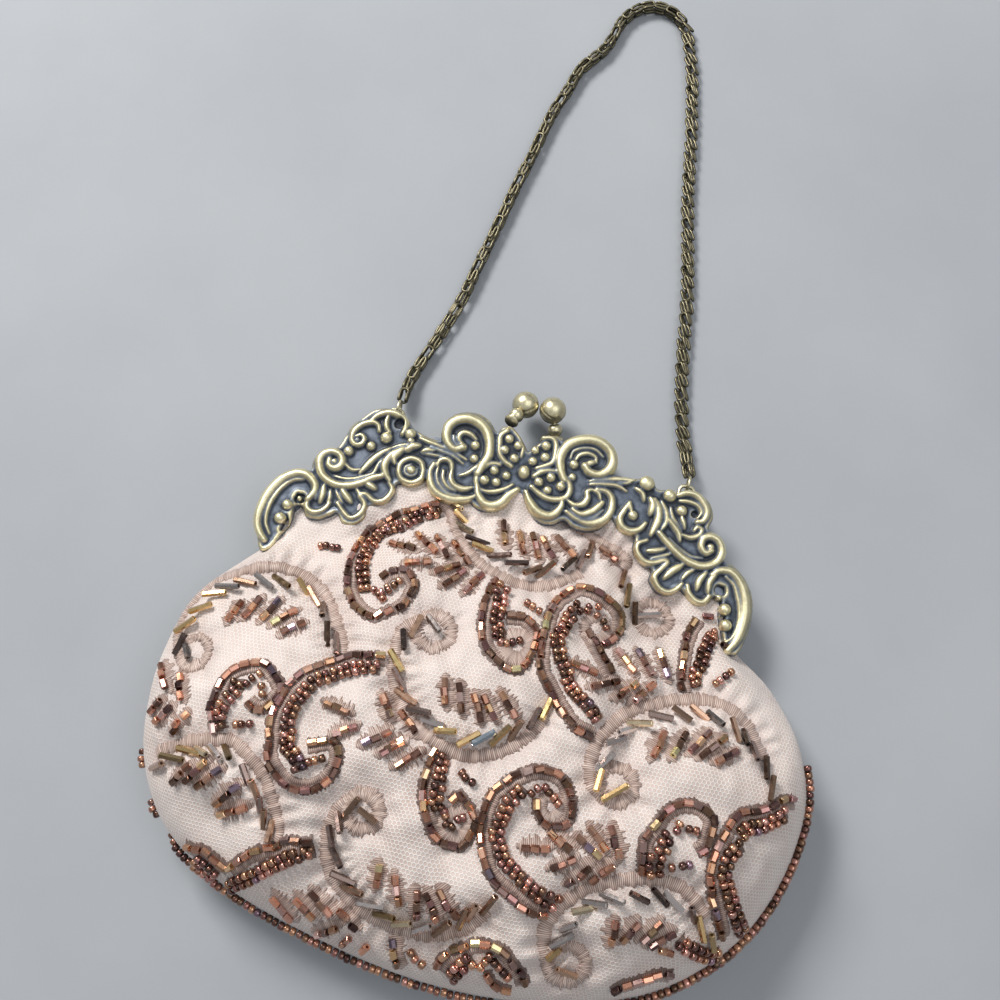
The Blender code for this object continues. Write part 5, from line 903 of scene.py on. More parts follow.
def net_pattern(s, cell):
    """Hexagonal net: 1 on its threads, 0 in its cells, over a map in millimetres."""
    flat = s.node("ShaderNodeUVMap", uv_map="net").outputs["UV"]
    # The map is moved so that all of it is above zero, where the modulo repeats without a break.
    moved = s.vector("ADD", flat, (500, 500, 0))
    scaled = s.node("ShaderNodeVectorMath", {0: moved, "Scale": 1 / cell}, operation="SCALE").outputs[0]
    period = (1.0, math.sqrt(3), 1.0)
    half = tuple(v / 2 for v in period)
    flat_only = (1.0, 1.0, 0.0)
    first = s.vector("SUBTRACT", s.vector("MODULO", scaled, period), half)
    second = s.vector("SUBTRACT", s.vector("MODULO", s.vector("ADD", scaled, half), period), half)
    first, second = s.vector("MULTIPLY", first, flat_only), s.vector("MULTIPLY", second, flat_only)
    far = [s.vector("LENGTH", place, output="Value") for place in (first, second)]
    nearer = s.math("LESS_THAN", *far)
    chosen = s.node("ShaderNodeMix", {0: nearer, 4: second, 5: first}, data_type="VECTOR")
    size = s.vector("ABSOLUTE", chosen.outputs[1])
    level = s.node("ShaderNodeSeparateXYZ", {"Vector": size}).outputs["X"]
    slanted = s.vector("DOT_PRODUCT", size, (0.5, math.sqrt(3) / 2, 0.0), output="Value")
    return s.spread(s.math("MAXIMUM", level, slanted), 0.33, 0.47)


def net_material():
    """Blush satin seen through fine white net, with painted shade where its stitching draws it in."""
    s = Shader("netted_satin_cloth")
    threads = net_pattern(s, NET_CELL)
    broad = s.noise(28.0)
    small = s.noise(160.0)
    satin = s.two_tones(broad, (0.56, 0.42, 0.36), (0.74, 0.60, 0.53))
    thread = s.two_tones(small, (0.88, 0.825, 0.79), (0.98, 0.945, 0.92))
    shown = s.mix(s.math("MULTIPLY", threads, 0.92), satin, thread)
    veil = s.mix(s.spread(small, 0.3, 0.7, 0.05, 0.25), shown, (0.92, 0.84, 0.79))
    # Painted shade: the cloth is darkened towards a pinkish brown near its stitching.
    painted_stitch_shade = s.math("MULTIPLY", s.attribute("painted_stitch_shade"), s.spread(small, 0.3, 0.7, 0.3, 0.7))
    s.set(
        Base_Color=s.mix(painted_stitch_shade, veil, (0.56, 0.43, 0.39)),
        Roughness=s.evenly(small, 0.5, 0.62),
        Normal=s.bump(threads, 0.0002, 0.6),
        Sheen_Weight=0.25,
        Sheen_Roughness=0.4,
    )
    return s.material


def lining_material():
    s = Shader("lining_cloth")
    weave = s.noise(900.0, 2.0)
    broad = s.noise(30.0, 2.0)
    s.set(
        Base_Color=s.two_tones(broad, (0.66, 0.52, 0.46), (0.77, 0.64, 0.58)),
        Roughness=s.evenly(weave, 0.38, 0.5),
        Normal=s.bump(weave, 0.0001, 0.4),
        Sheen_Weight=0.2,
    )
    return s.material


def stitch_material():
    """Taupe silk laid in satin stitch: a different shade for each thread, with painted shade between the threads and
    round the beads.
    """
    s = Shader("satin_stitch_silk")
    shade = s.attribute("thread")
    fine = s.noise(2500.0, 2.0)
    s.set(
        Base_Color=s.ramp(shade, (0.0, (0.08, 0.042, 0.033)), (0.35, (0.47, 0.33, 0.275)), (1.0, (0.94, 0.77, 0.675))),
        Roughness=s.evenly(fine, 0.4, 0.55),
        Normal=s.bump(fine, 0.0001, 0.5),
        Sheen_Weight=0.4,
    )
    return s.material


def bead_material():
    """Bronze-iris glass: a glossy metal film, with a shade for each bead."""
    s = Shader("bronze_iris_glass")
    tint = s.attribute("tint", "Color")
    cloud = s.noise(700.0, 2.0)
    film = s.node("ShaderNodeLayerWeight", {"Blend": 0.35}).outputs["Facing"]
    rim = s.mix(s.spread(film, 0.5, 1.0, 0.0, 0.5), tint, (0.16, 0.09, 0.13))
    s.set(
        Base_Color=s.mix(s.spread(cloud, 0.5, 0.8, 0.0, 0.25), rim, (0.55, 0.36, 0.25)),
        Metallic=0.9,
        Roughness=s.evenly(cloud, 0.17, 0.32),
        Coat_Weight=0.4,
        Coat_Roughness=0.08,
    )
    return s.material


def paper_material():
    s = Shader("twisted_paper")
    fibre = s.noise(1200.0, 4.0)
    s.set(
        Base_Color=s.two_tones(fibre, (0.5, 0.42, 0.3), (0.68, 0.6, 0.46)),
        Roughness=0.85,
        Normal=s.bump(fibre, 0.0002, 0.6),
    )
    return s.material


def floor_material():
    s = Shader("pale_floor")
    s.set(Base_Color=s.two_tones(s.noise(9.0, 5.0), (0.395, 0.415, 0.44), (0.445, 0.46, 0.48)), Roughness=0.9)
    return s.material


cast_brass = cast_material()
# Each brass below is painted with its first tone as shade where it faces down and its last as light where it faces up.
turned_brass = brass_material(
    "turned_antique_brass", (0.07, 0.072, 0.075), (0.52, 0.46, 0.30), (0.96, 0.87, 0.58), (0.26, 0.4),
)
strip_brass = brass_material(
    "patinated_strip", (0.06, 0.07, 0.09), (0.13, 0.15, 0.19), (0.26, 0.29, 0.34), (0.36, 0.5),
)
chain_brass = brass_material(
    "dull_chain_brass", (0.012, 0.012, 0.009), (0.06, 0.055, 0.036), (0.25, 0.22, 0.14), (0.34, 0.48),
)
rivet_brass = brass_material(
    "rivet_head_brass", (0.10, 0.09, 0.06), (0.34, 0.29, 0.17), (0.5, 0.43, 0.26), (0.3, 0.5),
)
net_cloth = net_material()
lining_cloth = lining_material()
silk = stitch_material()
glass = bead_material()
paper = paper_material()

make_camera()


# ---- the chain ----


def s_link():
    """The closed centre line of one link: an S on its upper face, the wire down one side, an S below and back up."""
    reach, wide, level = LINK_HALF_LENGTH - LINK_WIRE, 2 * LINK_BEND, LINK_LEVEL
    half = np.array((
        (-0.55 * reach, -wide), (0.1 * reach, -wide * 1.04), (0.66 * reach, -wide * 0.93), (0.97 * reach, -wide * 0.5),
        (0.72 * reach, -wide * 0.1), (0.3 * reach, 0.02), (0, 0),
    ))
    face = np.vstack([half, -half[::-1][1:]])
    upper = np.concatenate([face, np.full((len(face), 1), level)], axis=1)
    lower = np.concatenate([face[::-1], np.full((len(face), 1), -level)], axis=1)
    ends = np.array([(0.8 * reach, wide, level * 0.5), (0.8 * reach, wide, -level * 0.5)])
    ring = np.vstack([upper, ends, lower, -ends])
    return smooth_path(np.vstack([ring, ring[:1]]), 2)[:-1]


def make_chain():
    """Wire links along the laid-out route. Gives the jump rings' direction and how far the eyes' line is turned."""
    turn = math.atan2(RIGHT_EYE[1] - LEFT_EYE[1], RIGHT_EYE[0] - LEFT_EYE[0])
    level = math.cos(CHAIN_DIP)
    ahead = np.array((-math.sin(turn) * level, math.cos(turn) * level, -math.sin(CHAIN_DIP)))
    reach = 2 * RING_RADIUS - EYE_WIRE
    start, end = LEFT_EYE + ahead * reach, RIGHT_EYE + ahead * reach
    route = smooth_path(np.vstack([start, np.array(CHAIN_ROUTE), end]), 6)
    total = stations(route)[-1]
    count = int(round(total / LINK_PITCH))
    centres = (np.arange(count) + 0.5) * total / count
    tangents, across, other = carried_frames(at_lengths(route, np.linspace(0, total, CHAIN_SAMPLES)))
    link = s_link()
    parts = []
    for index, centre in enumerate(centres):
        k = int(centre / total * (CHAIN_SAMPLES - 1))
        right_leg = eased((centre - RIGHT_SLANT_START) / 8)
        left_leg = eased((centre - LEFT_SLANT_START) / 5) * (1 - eased((centre - LEFT_SLANT_END) / 5))
        roll = index * math.pi / 2 + math.pi / 4 * float(left_leg + right_leg) + LINK_PLAY * math.sin(index * 2.3)
        here = at_lengths(route, np.array([centre]))[0]
        side = across[k] * math.cos(roll) + other[k] * math.sin(roll)
        lean = LINK_LEAN * float(right_leg * (1 - eased((centre - total + 12) / 5)))
        towards = tangents[k] * math.cos(lean) + other[k] * math.sin(lean)
        side = side - towards * np.dot(side, towards)
        side /= np.linalg.norm(side)
        normal = np.cross(towards, side)
        shape = here + link[:, 0:1] * towards + link[:, 1:2] * side + link[:, 2:3] * normal
        parts.append(swept(shape, LINK_WIRE, 8, closed=True))
    places, faces = joined(parts)
    places[:, 2] += max(0.0, GROUND_GAP - places[:, 2].min())
    chain = make_object("link_chain", places, faces, chain_brass)
    settle(chain, "chain", "dull_brass", "handle_chain")
    return ahead, turn


def make_eyes_and_rings(ahead, turn):
    """An eye on the rear half at each side, with the chain's jump ring hanging in it."""
    across = np.array((math.cos(turn), math.sin(turn), 0))
    level = np.array((-math.sin(turn), math.cos(turn), 0))
    wide = EYE_HALF_WIDTH
    bend = [(wide * 0.4, 0), (wide * 0.8, -0.45), (wide, -1.6), (wide, -EYE_LEGS)]
    flat = smooth_path([(-x, y) for x, y in bend[::-1]] + bend, 5)
    ring = RING_RADIUS * on_circle(full_turn(40), ahead, np.cross(across, ahead))
    for side, place in (("left", LEFT_EYE), ("right", RIGHT_EYE)):
        line = place + flat[:, 0:1] * across + flat[:, 1:2] * level
        eye = make_object(f"eye_wire_{side}", *swept(line, EYE_WIRE, 14), turned_brass)
        settle(eye, "purse", "dull_brass", f"chain_eye_{side}")
        middle = place + ahead * (RING_RADIUS - RING_WIRE - EYE_WIRE - 0.3)
        made = make_object(f"link_ring_{side}", *swept(middle + ring, RING_WIRE, 12, closed=True), turned_brass)
        settle(made, "chain", "dull_brass", f"jump_ring_{side}")


make_eyes_and_rings(*make_chain())


# ---- the cast ornament ----


def plate_outline():
    """The ornament's outline once round, with its two ends unlike each other at the top."""
    right = on_frame(PLATE_INNER + PLATE_RIGHT_TOP + PLATE_OUTER)
    left = on_frame(PLATE_INNER + PLATE_LEFT_TOP + PLATE_OUTER, -1)
    ring = np.vstack([right, left[::-1][1:-1]])
    return smooth_path(np.vstack([ring, ring[:1]]), 5)[:-1]


def window(xs, ys, low, high):
    """The rows and columns of a grid between two corners."""
    columns = slice(*np.searchsorted(xs, (low[0], high[0])))
    return slice(*np.searchsorted(ys, (low[1], high[1]))), columns


def signed_distance(polygon, xs, ys, reach=2.5):
    """Distance inside a closed outline, negative outside it, held to a reach."""
    gx, gy = np.meshgrid(xs, ys)
    near = np.full(gx.shape, reach)
    for a, b in zip(polygon, np.roll(polygon, -1, axis=0)):
        area = window(xs, ys, np.minimum(a, b) - reach, np.maximum(a, b) + reach)
        near[area] = np.minimum(near[area], distance_to(np.array((a, b)), gx[area], gy[area]))
    return np.where(inside(polygon, gx, gy), near, -near)


def soft_blur(values, cells):
    """A mean over a square, taken twice."""
    for _ in range(2):
        for axis in (0, 1):
            padded = np.pad(values, [(cells + 1, cells) if k == axis else (0, 0) for k in (0, 1)], mode="edge")
            total = np.cumsum(padded, axis=axis)
            ahead = np.take(total, np.arange(2 * cells + 1, total.shape[axis]), axis=axis)
            behind = np.take(total, np.arange(0, total.shape[axis] - 2 * cells - 1), axis=axis)
            values = (ahead - behind) / (2 * cells + 1)
    return values


def dome(far):
    """A round's height at each share of its radius, from 1 in its middle to 0."""
    return np.sqrt(np.clip(1 - far**2, 0, 1))


def stroke_field(path, radii, px, py):
    """How far each place is from a stroke, in shares of its half width there, and that half width."""
    best = np.full(px.shape, FAR_OFF)
    size = np.zeros(px.shape)
    for k in range(len(path) - 1):
        a, run = path[k], path[k + 1] - path[k]
        t = np.clip(((px - a[0]) * run[0] + (py - a[1]) * run[1]) / max(run @ run, 1e-9), 0, 1)
        reach = radii[k] + (radii[k + 1] - radii[k]) * t
        far = np.hypot(px - a[0] - run[0] * t, py - a[1] - run[1] * t) / reach
        size = np.where(far < best, reach, size)
        best = np.minimum(best, far)
    return best, size


def cast_relief(step):
    """The ornament's height over the ground and how far each place is inside its outline, on a grid."""
    xs = np.arange(RELIEF_X[0], RELIEF_X[1] + step, step)
    ys = np.arange(RELIEF_Y[0], RELIEF_Y[1] + step, step)
    gx, gy = np.meshgrid(xs, ys)
    within = signed_distance(plate_outline(), xs, ys)
    for side in (-1, 1):
        for shape in HOLES:
            ring = smooth_path(np.vstack([on_frame(shape, side), on_frame(shape[:1], side)]), 5)[:-1]
            within = np.minimum(within, -signed_distance(ring, xs, ys))
    edge = np.clip(within / PLATE_ROUNDING, 0, 1)
    height = PLATE_BASE_Z + (PLATE_TOP_Z - PLATE_BASE_Z) * dome(1 - edge)
    # The plate is dished between the scrolls.
    height -= 0.5 * eased((within - 0.9) / 1.4)
    for *shares, radius, crest, end in STROKES:
        radius *= STROKE_BREADTH
        path = smooth_path(on_frame(shares), 5)
        share = stations(path) / stations(path)[-1]
        radii = radius * (end + (1 - end) * np.sqrt(np.clip(np.sin(np.pi * np.clip(share, 0.02, 0.98)), 0, 1)))
        reach = radius * STROKE_SKIRT
        area = window(xs, ys, path.min(axis=0) - reach, path.max(axis=0) + reach)
        far, size = stroke_field(path, radii, gx[area], gy[area])
        bell = 0.5 + 0.5 * np.cos(np.pi * np.clip(far / STROKE_SKIRT, 0, 1))
        form = 0.72 * dome(far) + 0.28 * bell
        raised = PLATE_TOP_Z - STROKE_ROOT + (crest + STROKE_ROOT) * form * (0.55 + 0.45 * (size / radius))
        height[area] = np.maximum(height[area], np.where(far < STROKE_SKIRT, raised, 0))
        within[area] = np.maximum(within[area], (1 - far) * radius)
    height = 0.4 * height + 0.6 * soft_blur(height, 1)
    for x, y, radius in HOLLOWS:
        cx, cy = on_frame((x, y))[0]
        far = np.hypot(gx - cx, gy - cy) / radius
        dish = PLATE_BASE_Z + 0.35 + 4.5 * eased((far - 0.55) / 0.6)
        height = np.where(far < 1, np.minimum(height, dish), height)
    for x, y, radius in STUDS:
        centre = on_frame((x, y))[0]
        area = window(xs, ys, centre - radius - 0.5, centre + radius + 0.5)
        far = np.hypot(gx[area] - centre[0], gy[area] - centre[1]) / radius
        ball = PLATE_TOP_Z - 0.4 + min(radius + 0.1, STUD_HEIGHT) * dome(far)
        height[area] = np.where(far < 1, np.maximum(height[area], ball), height[area])
        within[area] = np.maximum(within[area], (1 - far) * radius)
    x, y, half_width, half_length = CENTRE_OVAL
    cx, cy = on_frame((x, y))[0]
    far = np.hypot((gx - cx) / half_width, (gy - cy) / half_length)
    height = np.where(far < 1, np.maximum(height, PLATE_TOP_Z - 0.6 + 2.5 * dome(far)), height)
    return xs, ys, height, within


def relief_mesh(xs, ys, height, within):
    """A closed mesh of the relief: its edge is moved onto the outline, and a flat underside closes it."""
    middle = (within[:-1, :-1] + within[1:, :-1] + within[:-1, 1:] + within[1:, 1:]) / 4
    rows, columns = np.nonzero(middle > 0)
    width = len(xs)
    corner = rows * width + columns
    quads = np.stack([corner, corner + 1, corner + width + 1, corner + width], axis=1)
    used, quads = np.unique(quads, return_inverse=True)
    quads = quads.reshape(-1, 4)
    slope_y, slope_x = np.gradient(within, ys, xs)
    grids = (*np.meshgrid(xs, ys), height, within, slope_x, slope_y)
    x, y, z, inner, sx, sy = (grid.ravel()[used].copy() for grid in grids)
    count = np.zeros(len(used), int)
    np.add.at(count, quads.ravel(), 1)
    rim = count < 4
    steep = np.maximum(sx**2 + sy**2, 0.2)
    x[rim] -= (inner * sx / steep)[rim]
    y[rim] -= (inner * sy / steep)[rim]
    z[rim] = PLATE_BASE_Z
    top = np.stack([x, y, z], axis=1)
    under = top.copy()
    under[:, 2] = PLATE_BASE_Z
    below = np.where(rim, np.arange(len(used)), 0)
    below[~rim] = len(used) + np.arange((~rim).sum())
    places = np.vstack([top, under[~rim]])
    return places, np.vstack([quads, below[quads][:, ::-1]]), used


def make_ornament(name, step, body, node, mirrored):
    """The ornament's relief, with a value for how far each place is rubbed, crests most and hollows least, which also
    paints shade into its narrow grooves.
    """
    xs, ys, height, within = cast_relief(step)
    shown = np.where(within > 0, height, PLATE_BASE_Z)
    # The height less its blurred height: low in hollows, which take patina, and lowest in narrow grooves, which this
    # paints dark as shade.
    broad, close = (height - soft_blur(shown, max(1, int(round(reach / step)))) for reach in (1.2, 0.5))
    raised = (height - PLATE_TOP_Z + 0.3) / 1.7
    wear_and_painted_shade = np.clip(0.30 + 0.32 * raised + 0.36 * broad + 0.5 * close, 0, 1)
    places, faces, used = relief_mesh(xs, ys, height, within)
    values = np.concatenate([wear_and_painted_shade.ravel()[used], np.full(len(places) - len(used), 0.15)])
    if mirrored:
        places = places * (1, 1, -1) + (0, 0, 2 * MID_Z)
        faces = faces[:, ::-1]
    made = make_object(name, places, faces, cast_brass)
    add_values(made, "wear_and_painted_shade", values)
    settle(made, body, "antique_brass", node)


make_ornament("front_scrollwork", 0.27, "front_half", "front_filigree", False)
make_ornament("rear_scrollwork", 0.5, "purse", "rear_filigree", True)


# ---- the clasp ----


def make_clasp():
    """Two balls on short arms that snap past each other."""
    for half, side, body in (("front", -1, "front_half"), ("rear", 1, "purse")):
        ball = np.array((side * 4.7, 97.2, MID_Z))
        foot = np.array((side * 8.0, 88.4, MID_Z - side * 4.8))
        reach = np.linalg.norm(ball - foot) - BALL_RADIUS
        profile = list(ARM_COLLAR)
        for turn in np.linspace(-0.86, 0.86, 13) * math.pi / 2:
            profile.append((reach - 2.1 + ARM_BEAD * math.sin(turn) * 0.95, ARM_BEAD * math.cos(turn)))
        profile += [(reach - 0.05, 1.0), (reach + 0.15, 1.05), (reach + 0.15, 0)]
        profile = [(max(a, 0), r) for a, r in sorted(profile, key=lambda p: p[0]) if r >= 0]
        arm = make_object(f"{half}_ball_arm", *revolved(profile, foot, ball, 28), turned_brass)
        settle(arm, body, "antique_brass", f"{half}_clasp_arm")
        turns = np.linspace(0, np.pi, 41)
        seam = BALL_RADIUS - 0.22 * np.exp(-(((turns - np.pi / 2) / 0.07) ** 2))
        globe = [(BALL_RADIUS - math.cos(t) * r, math.sin(t) * r) for t, r in zip(turns, seam)]
        tilt = np.array((side * 0.25, 0.35, 0.5))
        tilt /= np.linalg.norm(tilt)
        made = make_object(f"{half}_ball", *revolved(globe, ball - tilt * BALL_RADIUS, ball, 56), turned_brass)
        settle(made, body, "antique_brass", f"{half}_clasp_ball")


make_clasp()


# ---- the purse's cloth ----


def seam_height(y):
    drop = eased((y - 4) / 20)
    return SEAM_Z + (HINGE_SEAM_Z - SEAM_Z) * drop


def base_height(x, y, side, from_frame, from_edge, band):
    """The height a panel rises from: low inside the frame, at the seam elsewhere."""
    low = MID_Z + side * (PANEL_LEVEL + 0.6 * np.minimum(from_frame / band, 1))
    away = np.clip((from_frame - band) / 30, 0, 1)
    share = np.maximum(away, 1 - eased(from_edge / 10))
    return low + (seam_height(y) + side * 0.25 - low) * share


def smooth_front(x, y):
    """The front panel's height without its puckers."""
    from_frame = distance_to(crown_arch, x, y)
    from_edge = distance_to(outline, x, y)
    band = FRAME_BAND + 3 * eased((np.abs(x) - 30) / 14)
    base = base_height(x, y, 1, from_frame, from_edge, band)
    crown = 1 - (1 - np.clip((from_frame - band) / CROWN_REACH, 0, 1)) ** 2.2
    rounding = (1 - (1 - np.minimum(from_edge / EDGE_REACH, 1)) ** 2) ** 0.6
    height = base + (BODY_HEIGHT - base) * crown * rounding
    shoulder = sum(
        rise * np.exp(-(((x - cx) / wide) ** 2) - ((y - cy) / high) ** 2) for rise, cx, cy, wide, high in SHOULDERS
    )
    return height + shoulder * np.clip(from_edge / 6, 0, 1)


def smooth_back(x, y):
    """The back panel's height: flat on the ground in its middle."""
    from_frame = distance_to(arch, x, y)
    from_edge = distance_to(outline, x, y)
    base = base_height(x, y, -1, from_frame, from_edge, BACK_BAND)
    flat = eased((from_frame - BACK_BAND) / 14) * (1 - (1 - np.minimum(from_edge / 24, 1)) ** 2)
    return np.where(flat < 0.995, base * (1 - flat), 0.0)


class Ground:
    STEP = 0.8
    STEEPEST = 2.5

    def __init__(self, height_of):
        self.x = np.arange(-112, 112, self.STEP)
        self.y = np.arange(-92, 80, self.STEP)
        gx, gy = np.meshgrid(self.x, self.y)
        self.z = height_of(gx, gy)
        self.slope_y, self.slope_x = np.gradient(self.z, self.STEP)

    def read(self, values, x, y):
        i = np.clip((x - self.x[0]) / self.STEP, 0, len(self.x) - 1.001)
        j = np.clip((y - self.y[0]) / self.STEP, 0, len(self.y) - 1.001)
        a, b = i.astype(int), j.astype(int)
        u, v = i - a, j - b
        return (
            values[b, a] * (1 - u) * (1 - v) + values[b, a + 1] * u * (1 - v)
            + values[b + 1, a] * (1 - u) * v + values[b + 1, a + 1] * u * v
        )

    def height(self, x, y):
        return self.read(self.z, x, y)

    def normal(self, x, y):
        slopes = (self.read(slope, x, y) for slope in (self.slope_x, self.slope_y))
        sx, sy = (np.clip(slope, -self.STEEPEST, self.STEEPEST) for slope in slopes)
        n = np.stack([-sx, -sy, np.ones_like(sx)], axis=1)
        return n / np.linalg.norm(n, axis=1, keepdims=True)

    def under(self, pixels):
        """The places on this ground that pixels of the picture show."""
        pixels = np.asarray(pixels, float).reshape(-1, 2)
        height = np.full(len(pixels), 25.0)
        for _ in range(14):
            flat = seen_at(pixels, height)
            height = 0.5 * height + 0.5 * self.height(flat[:, 0], flat[:, 1])
        return seen_at(pixels, height)

    def line_under(self, pixels):
        return smooth_path(self.under(pixels), 6)


boundary = np.vstack([outline, arch[::-1]])


def bag_reach(turns):
    """How far the purse's edge is from its centre in each direction."""
    ring = evenly(np.vstack([boundary, boundary[:1]]), 0.8)[:-1] - BAG_CENTRE
    angle = np.arctan2(ring[:, 1], ring[:, 0])
    order = np.argsort(angle)
    return np.interp(turns, angle[order], np.hypot(ring[:, 0], ring[:, 1])[order], period=2 * np.pi)


def outside_fall(height_of):
    """The same height, falling away outside the purse's edge."""

    def height(x, y):
        z = height_of(x, y)
        out = ~inside(boundary, x, y)
        return np.where(out, seam_height(y) - 1.5 * distance_to(boundary, x, y), z)

    return height


plain_ground = Ground(outside_fall(smooth_front))
curl_places = []
for u, v, outer, inner in STITCHED_CURLS:
    centre, edge = plain_ground.under([(u, v), (u + outer, v)])
    curl_places.append((centre, np.linalg.norm(edge - centre), np.linalg.norm(edge - centre) * inner / outer))


def run_into_curl(places):
    """A line whose end, where it comes close to a curl, goes on round the curl."""
    last = places[-1]
    ahead = last - places[-2]
    for centre, outer, inner in curl_places:
        away = last - centre
        if outer * 0.8 < np.linalg.norm(away) < outer + 9:
            sense = 1 if away[0] * ahead[1] - away[1] * ahead[0] > 0 else -1
            turn = np.arctan2(away[1], away[0]) + sense * np.radians((55, 85, 120, 155))
            return np.vstack([places, centre + (outer + inner) / 2 * np.stack([np.cos(turn), np.sin(turn)], axis=1)])
    return places


arc_lines = {}
for name, places in STITCHED_ARCS.items():
    places = run_into_curl(run_into_curl(plain_ground.under(places))[::-1])
    arc_lines[name] = smooth_path(places, 6)

wave_turn = rng.uniform(0, np.pi, WAVES)
wave_length = rng.uniform(6, 34, WAVES)
wave_start = rng.uniform(0, 2 * np.pi, WAVES)


def nearest_on(line, x, y):
    """How far each place is from a line, and how far along the line its nearest point is."""
    best = np.full(np.shape(x), FAR_OFF)
    along = np.zeros(np.shape(x))
    start = stations(line)
    for k in range(len(line) - 1):
        a, run = line[k], line[k + 1] - line[k]
        length = np.linalg.norm(run)
        t = np.clip(((x - a[0]) * run[0] + (y - a[1]) * run[1]) / max(length**2, 1e-9), 0, 1)
        far = np.hypot(x - a[0] - run[0] * t, y - a[1] - run[1] * t)
        along = np.where(far < best, start[k] + t * length, along)
        best = np.minimum(best, far)
    return best, along


def frame_folds(x, y):
    """Soft folds where the cloth is gathered into the frame."""
    far, station = nearest_on(crown_arch, x, y)
    fold = np.sin(station * 2 * np.pi / FOLD_LENGTH + 1.3 * np.sin(station / 11.0))
    return FOLD_HEIGHT * fold * eased((far - 15) / 5) * np.exp(-np.clip(far - 20, 0, None) / 9)


def ripple(x, y):
    """Gentle unevenness of stretched cloth."""
    total = np.zeros(np.shape(x))
    for turn, length, start in zip(wave_turn, wave_length, wave_start):
        total += (0.3 + length / 42) * np.sin((x * math.cos(turn) + y * math.sin(turn)) * 2 * np.pi / length + start)
    return total / math.sqrt(WAVES)


def drawn_in(x, y):
    """How near the cloth is to its stitching, and how it puckers there."""
    near = np.full(np.shape(x), 30.0)
    gather = np.zeros(np.shape(x))
    for line in arc_lines.values():
        far, station = nearest_on(line, x, y)
        near = np.minimum(near, far)
        crease = np.sin(station * 2 * np.pi / PUCKER_LENGTH + 1.5 * np.sin(station / 7.0))
        gather += PUCKER_HEIGHT * crease * np.exp(-(((far - PUCKER_PLACE) / PUCKER_REACH) ** 2))
    for (cx, cy), outer, inner in curl_places:
        far = np.hypot(x - cx, y - cy)
        near = np.minimum(near, np.abs(far - (outer + inner) / 2))
        crease = np.sin(7 * np.arctan2(y - cy, x - cx) + cx)
        gather += CURL_PUCKER_HEIGHT * crease * np.exp(-(((far - outer - 2.5) / 2.8) ** 2))
    return near, gather


def puckered_front(x, y):
    """The front panel with the cloth gathered in along its stitching and standing a little between it."""
    near, gather = drawn_in(x, y)
    hold = np.clip(distance_to(boundary, x, y) / EDGE_HOLD, 0, 1)
    puff = PUFF_HEIGHT * (1 - np.exp(-((near / PUFF_REACH) ** 2))) - PUFF_DROP
    return smooth_front(x, y) + hold * (puff + gather + frame_folds(x, y) + ripple(x, y))


ground = Ground(outside_fall(puckered_front))
back_ground = Ground(outside_fall(smooth_back))


def under_puckers(x, y):
    """The front lining's level: smooth, and low enough to clear the cloth where that is gathered in."""
    return smooth_front(x, y) - LINING_DROP * np.clip(distance_to(boundary, x, y) / EDGE_HOLD, 0, 1)


def bag_grid(half):
    """Places over the whole panel, closer together near its edge, with the direction and share out of each."""
    a, b = np.meshgrid(np.linspace(-1, 1, 2 * half + 1), np.linspace(-1, 1, 2 * half + 1))
    wide = np.abs(a) >= np.abs(b)
    share = np.where(wide, np.abs(a), np.abs(b))
    safe_a = np.where(a == 0, 1, a)
    safe_b = np.where(b == 0, 1, b)
    turn = np.where(wide, np.pi / 4 * b / safe_a, np.pi / 2 - np.pi / 4 * a / safe_b)
    turn = turn + np.where(wide, np.where(a < 0, np.pi, 0), np.where(b < 0, np.pi, 0))
    turn = np.mod(turn + np.pi, 2 * np.pi) - np.pi
    reach = bag_reach(turn) * (1 - (1 - share) ** 1.4)
    return turn.ravel(), reach.ravel()


def around_centre(turn, far):
    return BAG_CENTRE[0] + far * np.cos(turn), BAG_CENTRE[1] + far * np.sin(turn)


def flattened(turn, reach, level):
    """Each place moved out by the length of cloth between it and the centre, so that a pattern keeps its size."""
    steps = 28
    length = np.zeros_like(reach)
    last = None
    for k in range(steps + 1):
        rise = level.height(*around_centre(turn, reach * k / steps))
        if last is not None:
            length += np.hypot(reach / steps, rise - last)
        last = rise
    return np.stack(around_centre(turn, np.minimum(length, reach * 1.6 + 1)), axis=1)


def make_cloth(name, half, height_of, level, material, facing, drop=0.0, shrink=1.0):
    turn, reach = bag_grid(half)
    x, y = (c + (place - c) * shrink for c, place in zip(BAG_CENTRE, around_centre(turn, reach)))
    z = height_of(x, y) + drop
    faces = grid_faces(2 * half + 1, 2 * half + 1)
    if facing < 0:
        faces = faces[:, ::-1]
    made = make_object(name, np.stack([x, y, z], axis=1), faces, material)
    add_map(made, "net", flattened(turn, reach * shrink, level))
    return made


def bends_open(made):
    """Bakes the place of one of the front's cloth and bead pieces into its mesh."""
    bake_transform(made)


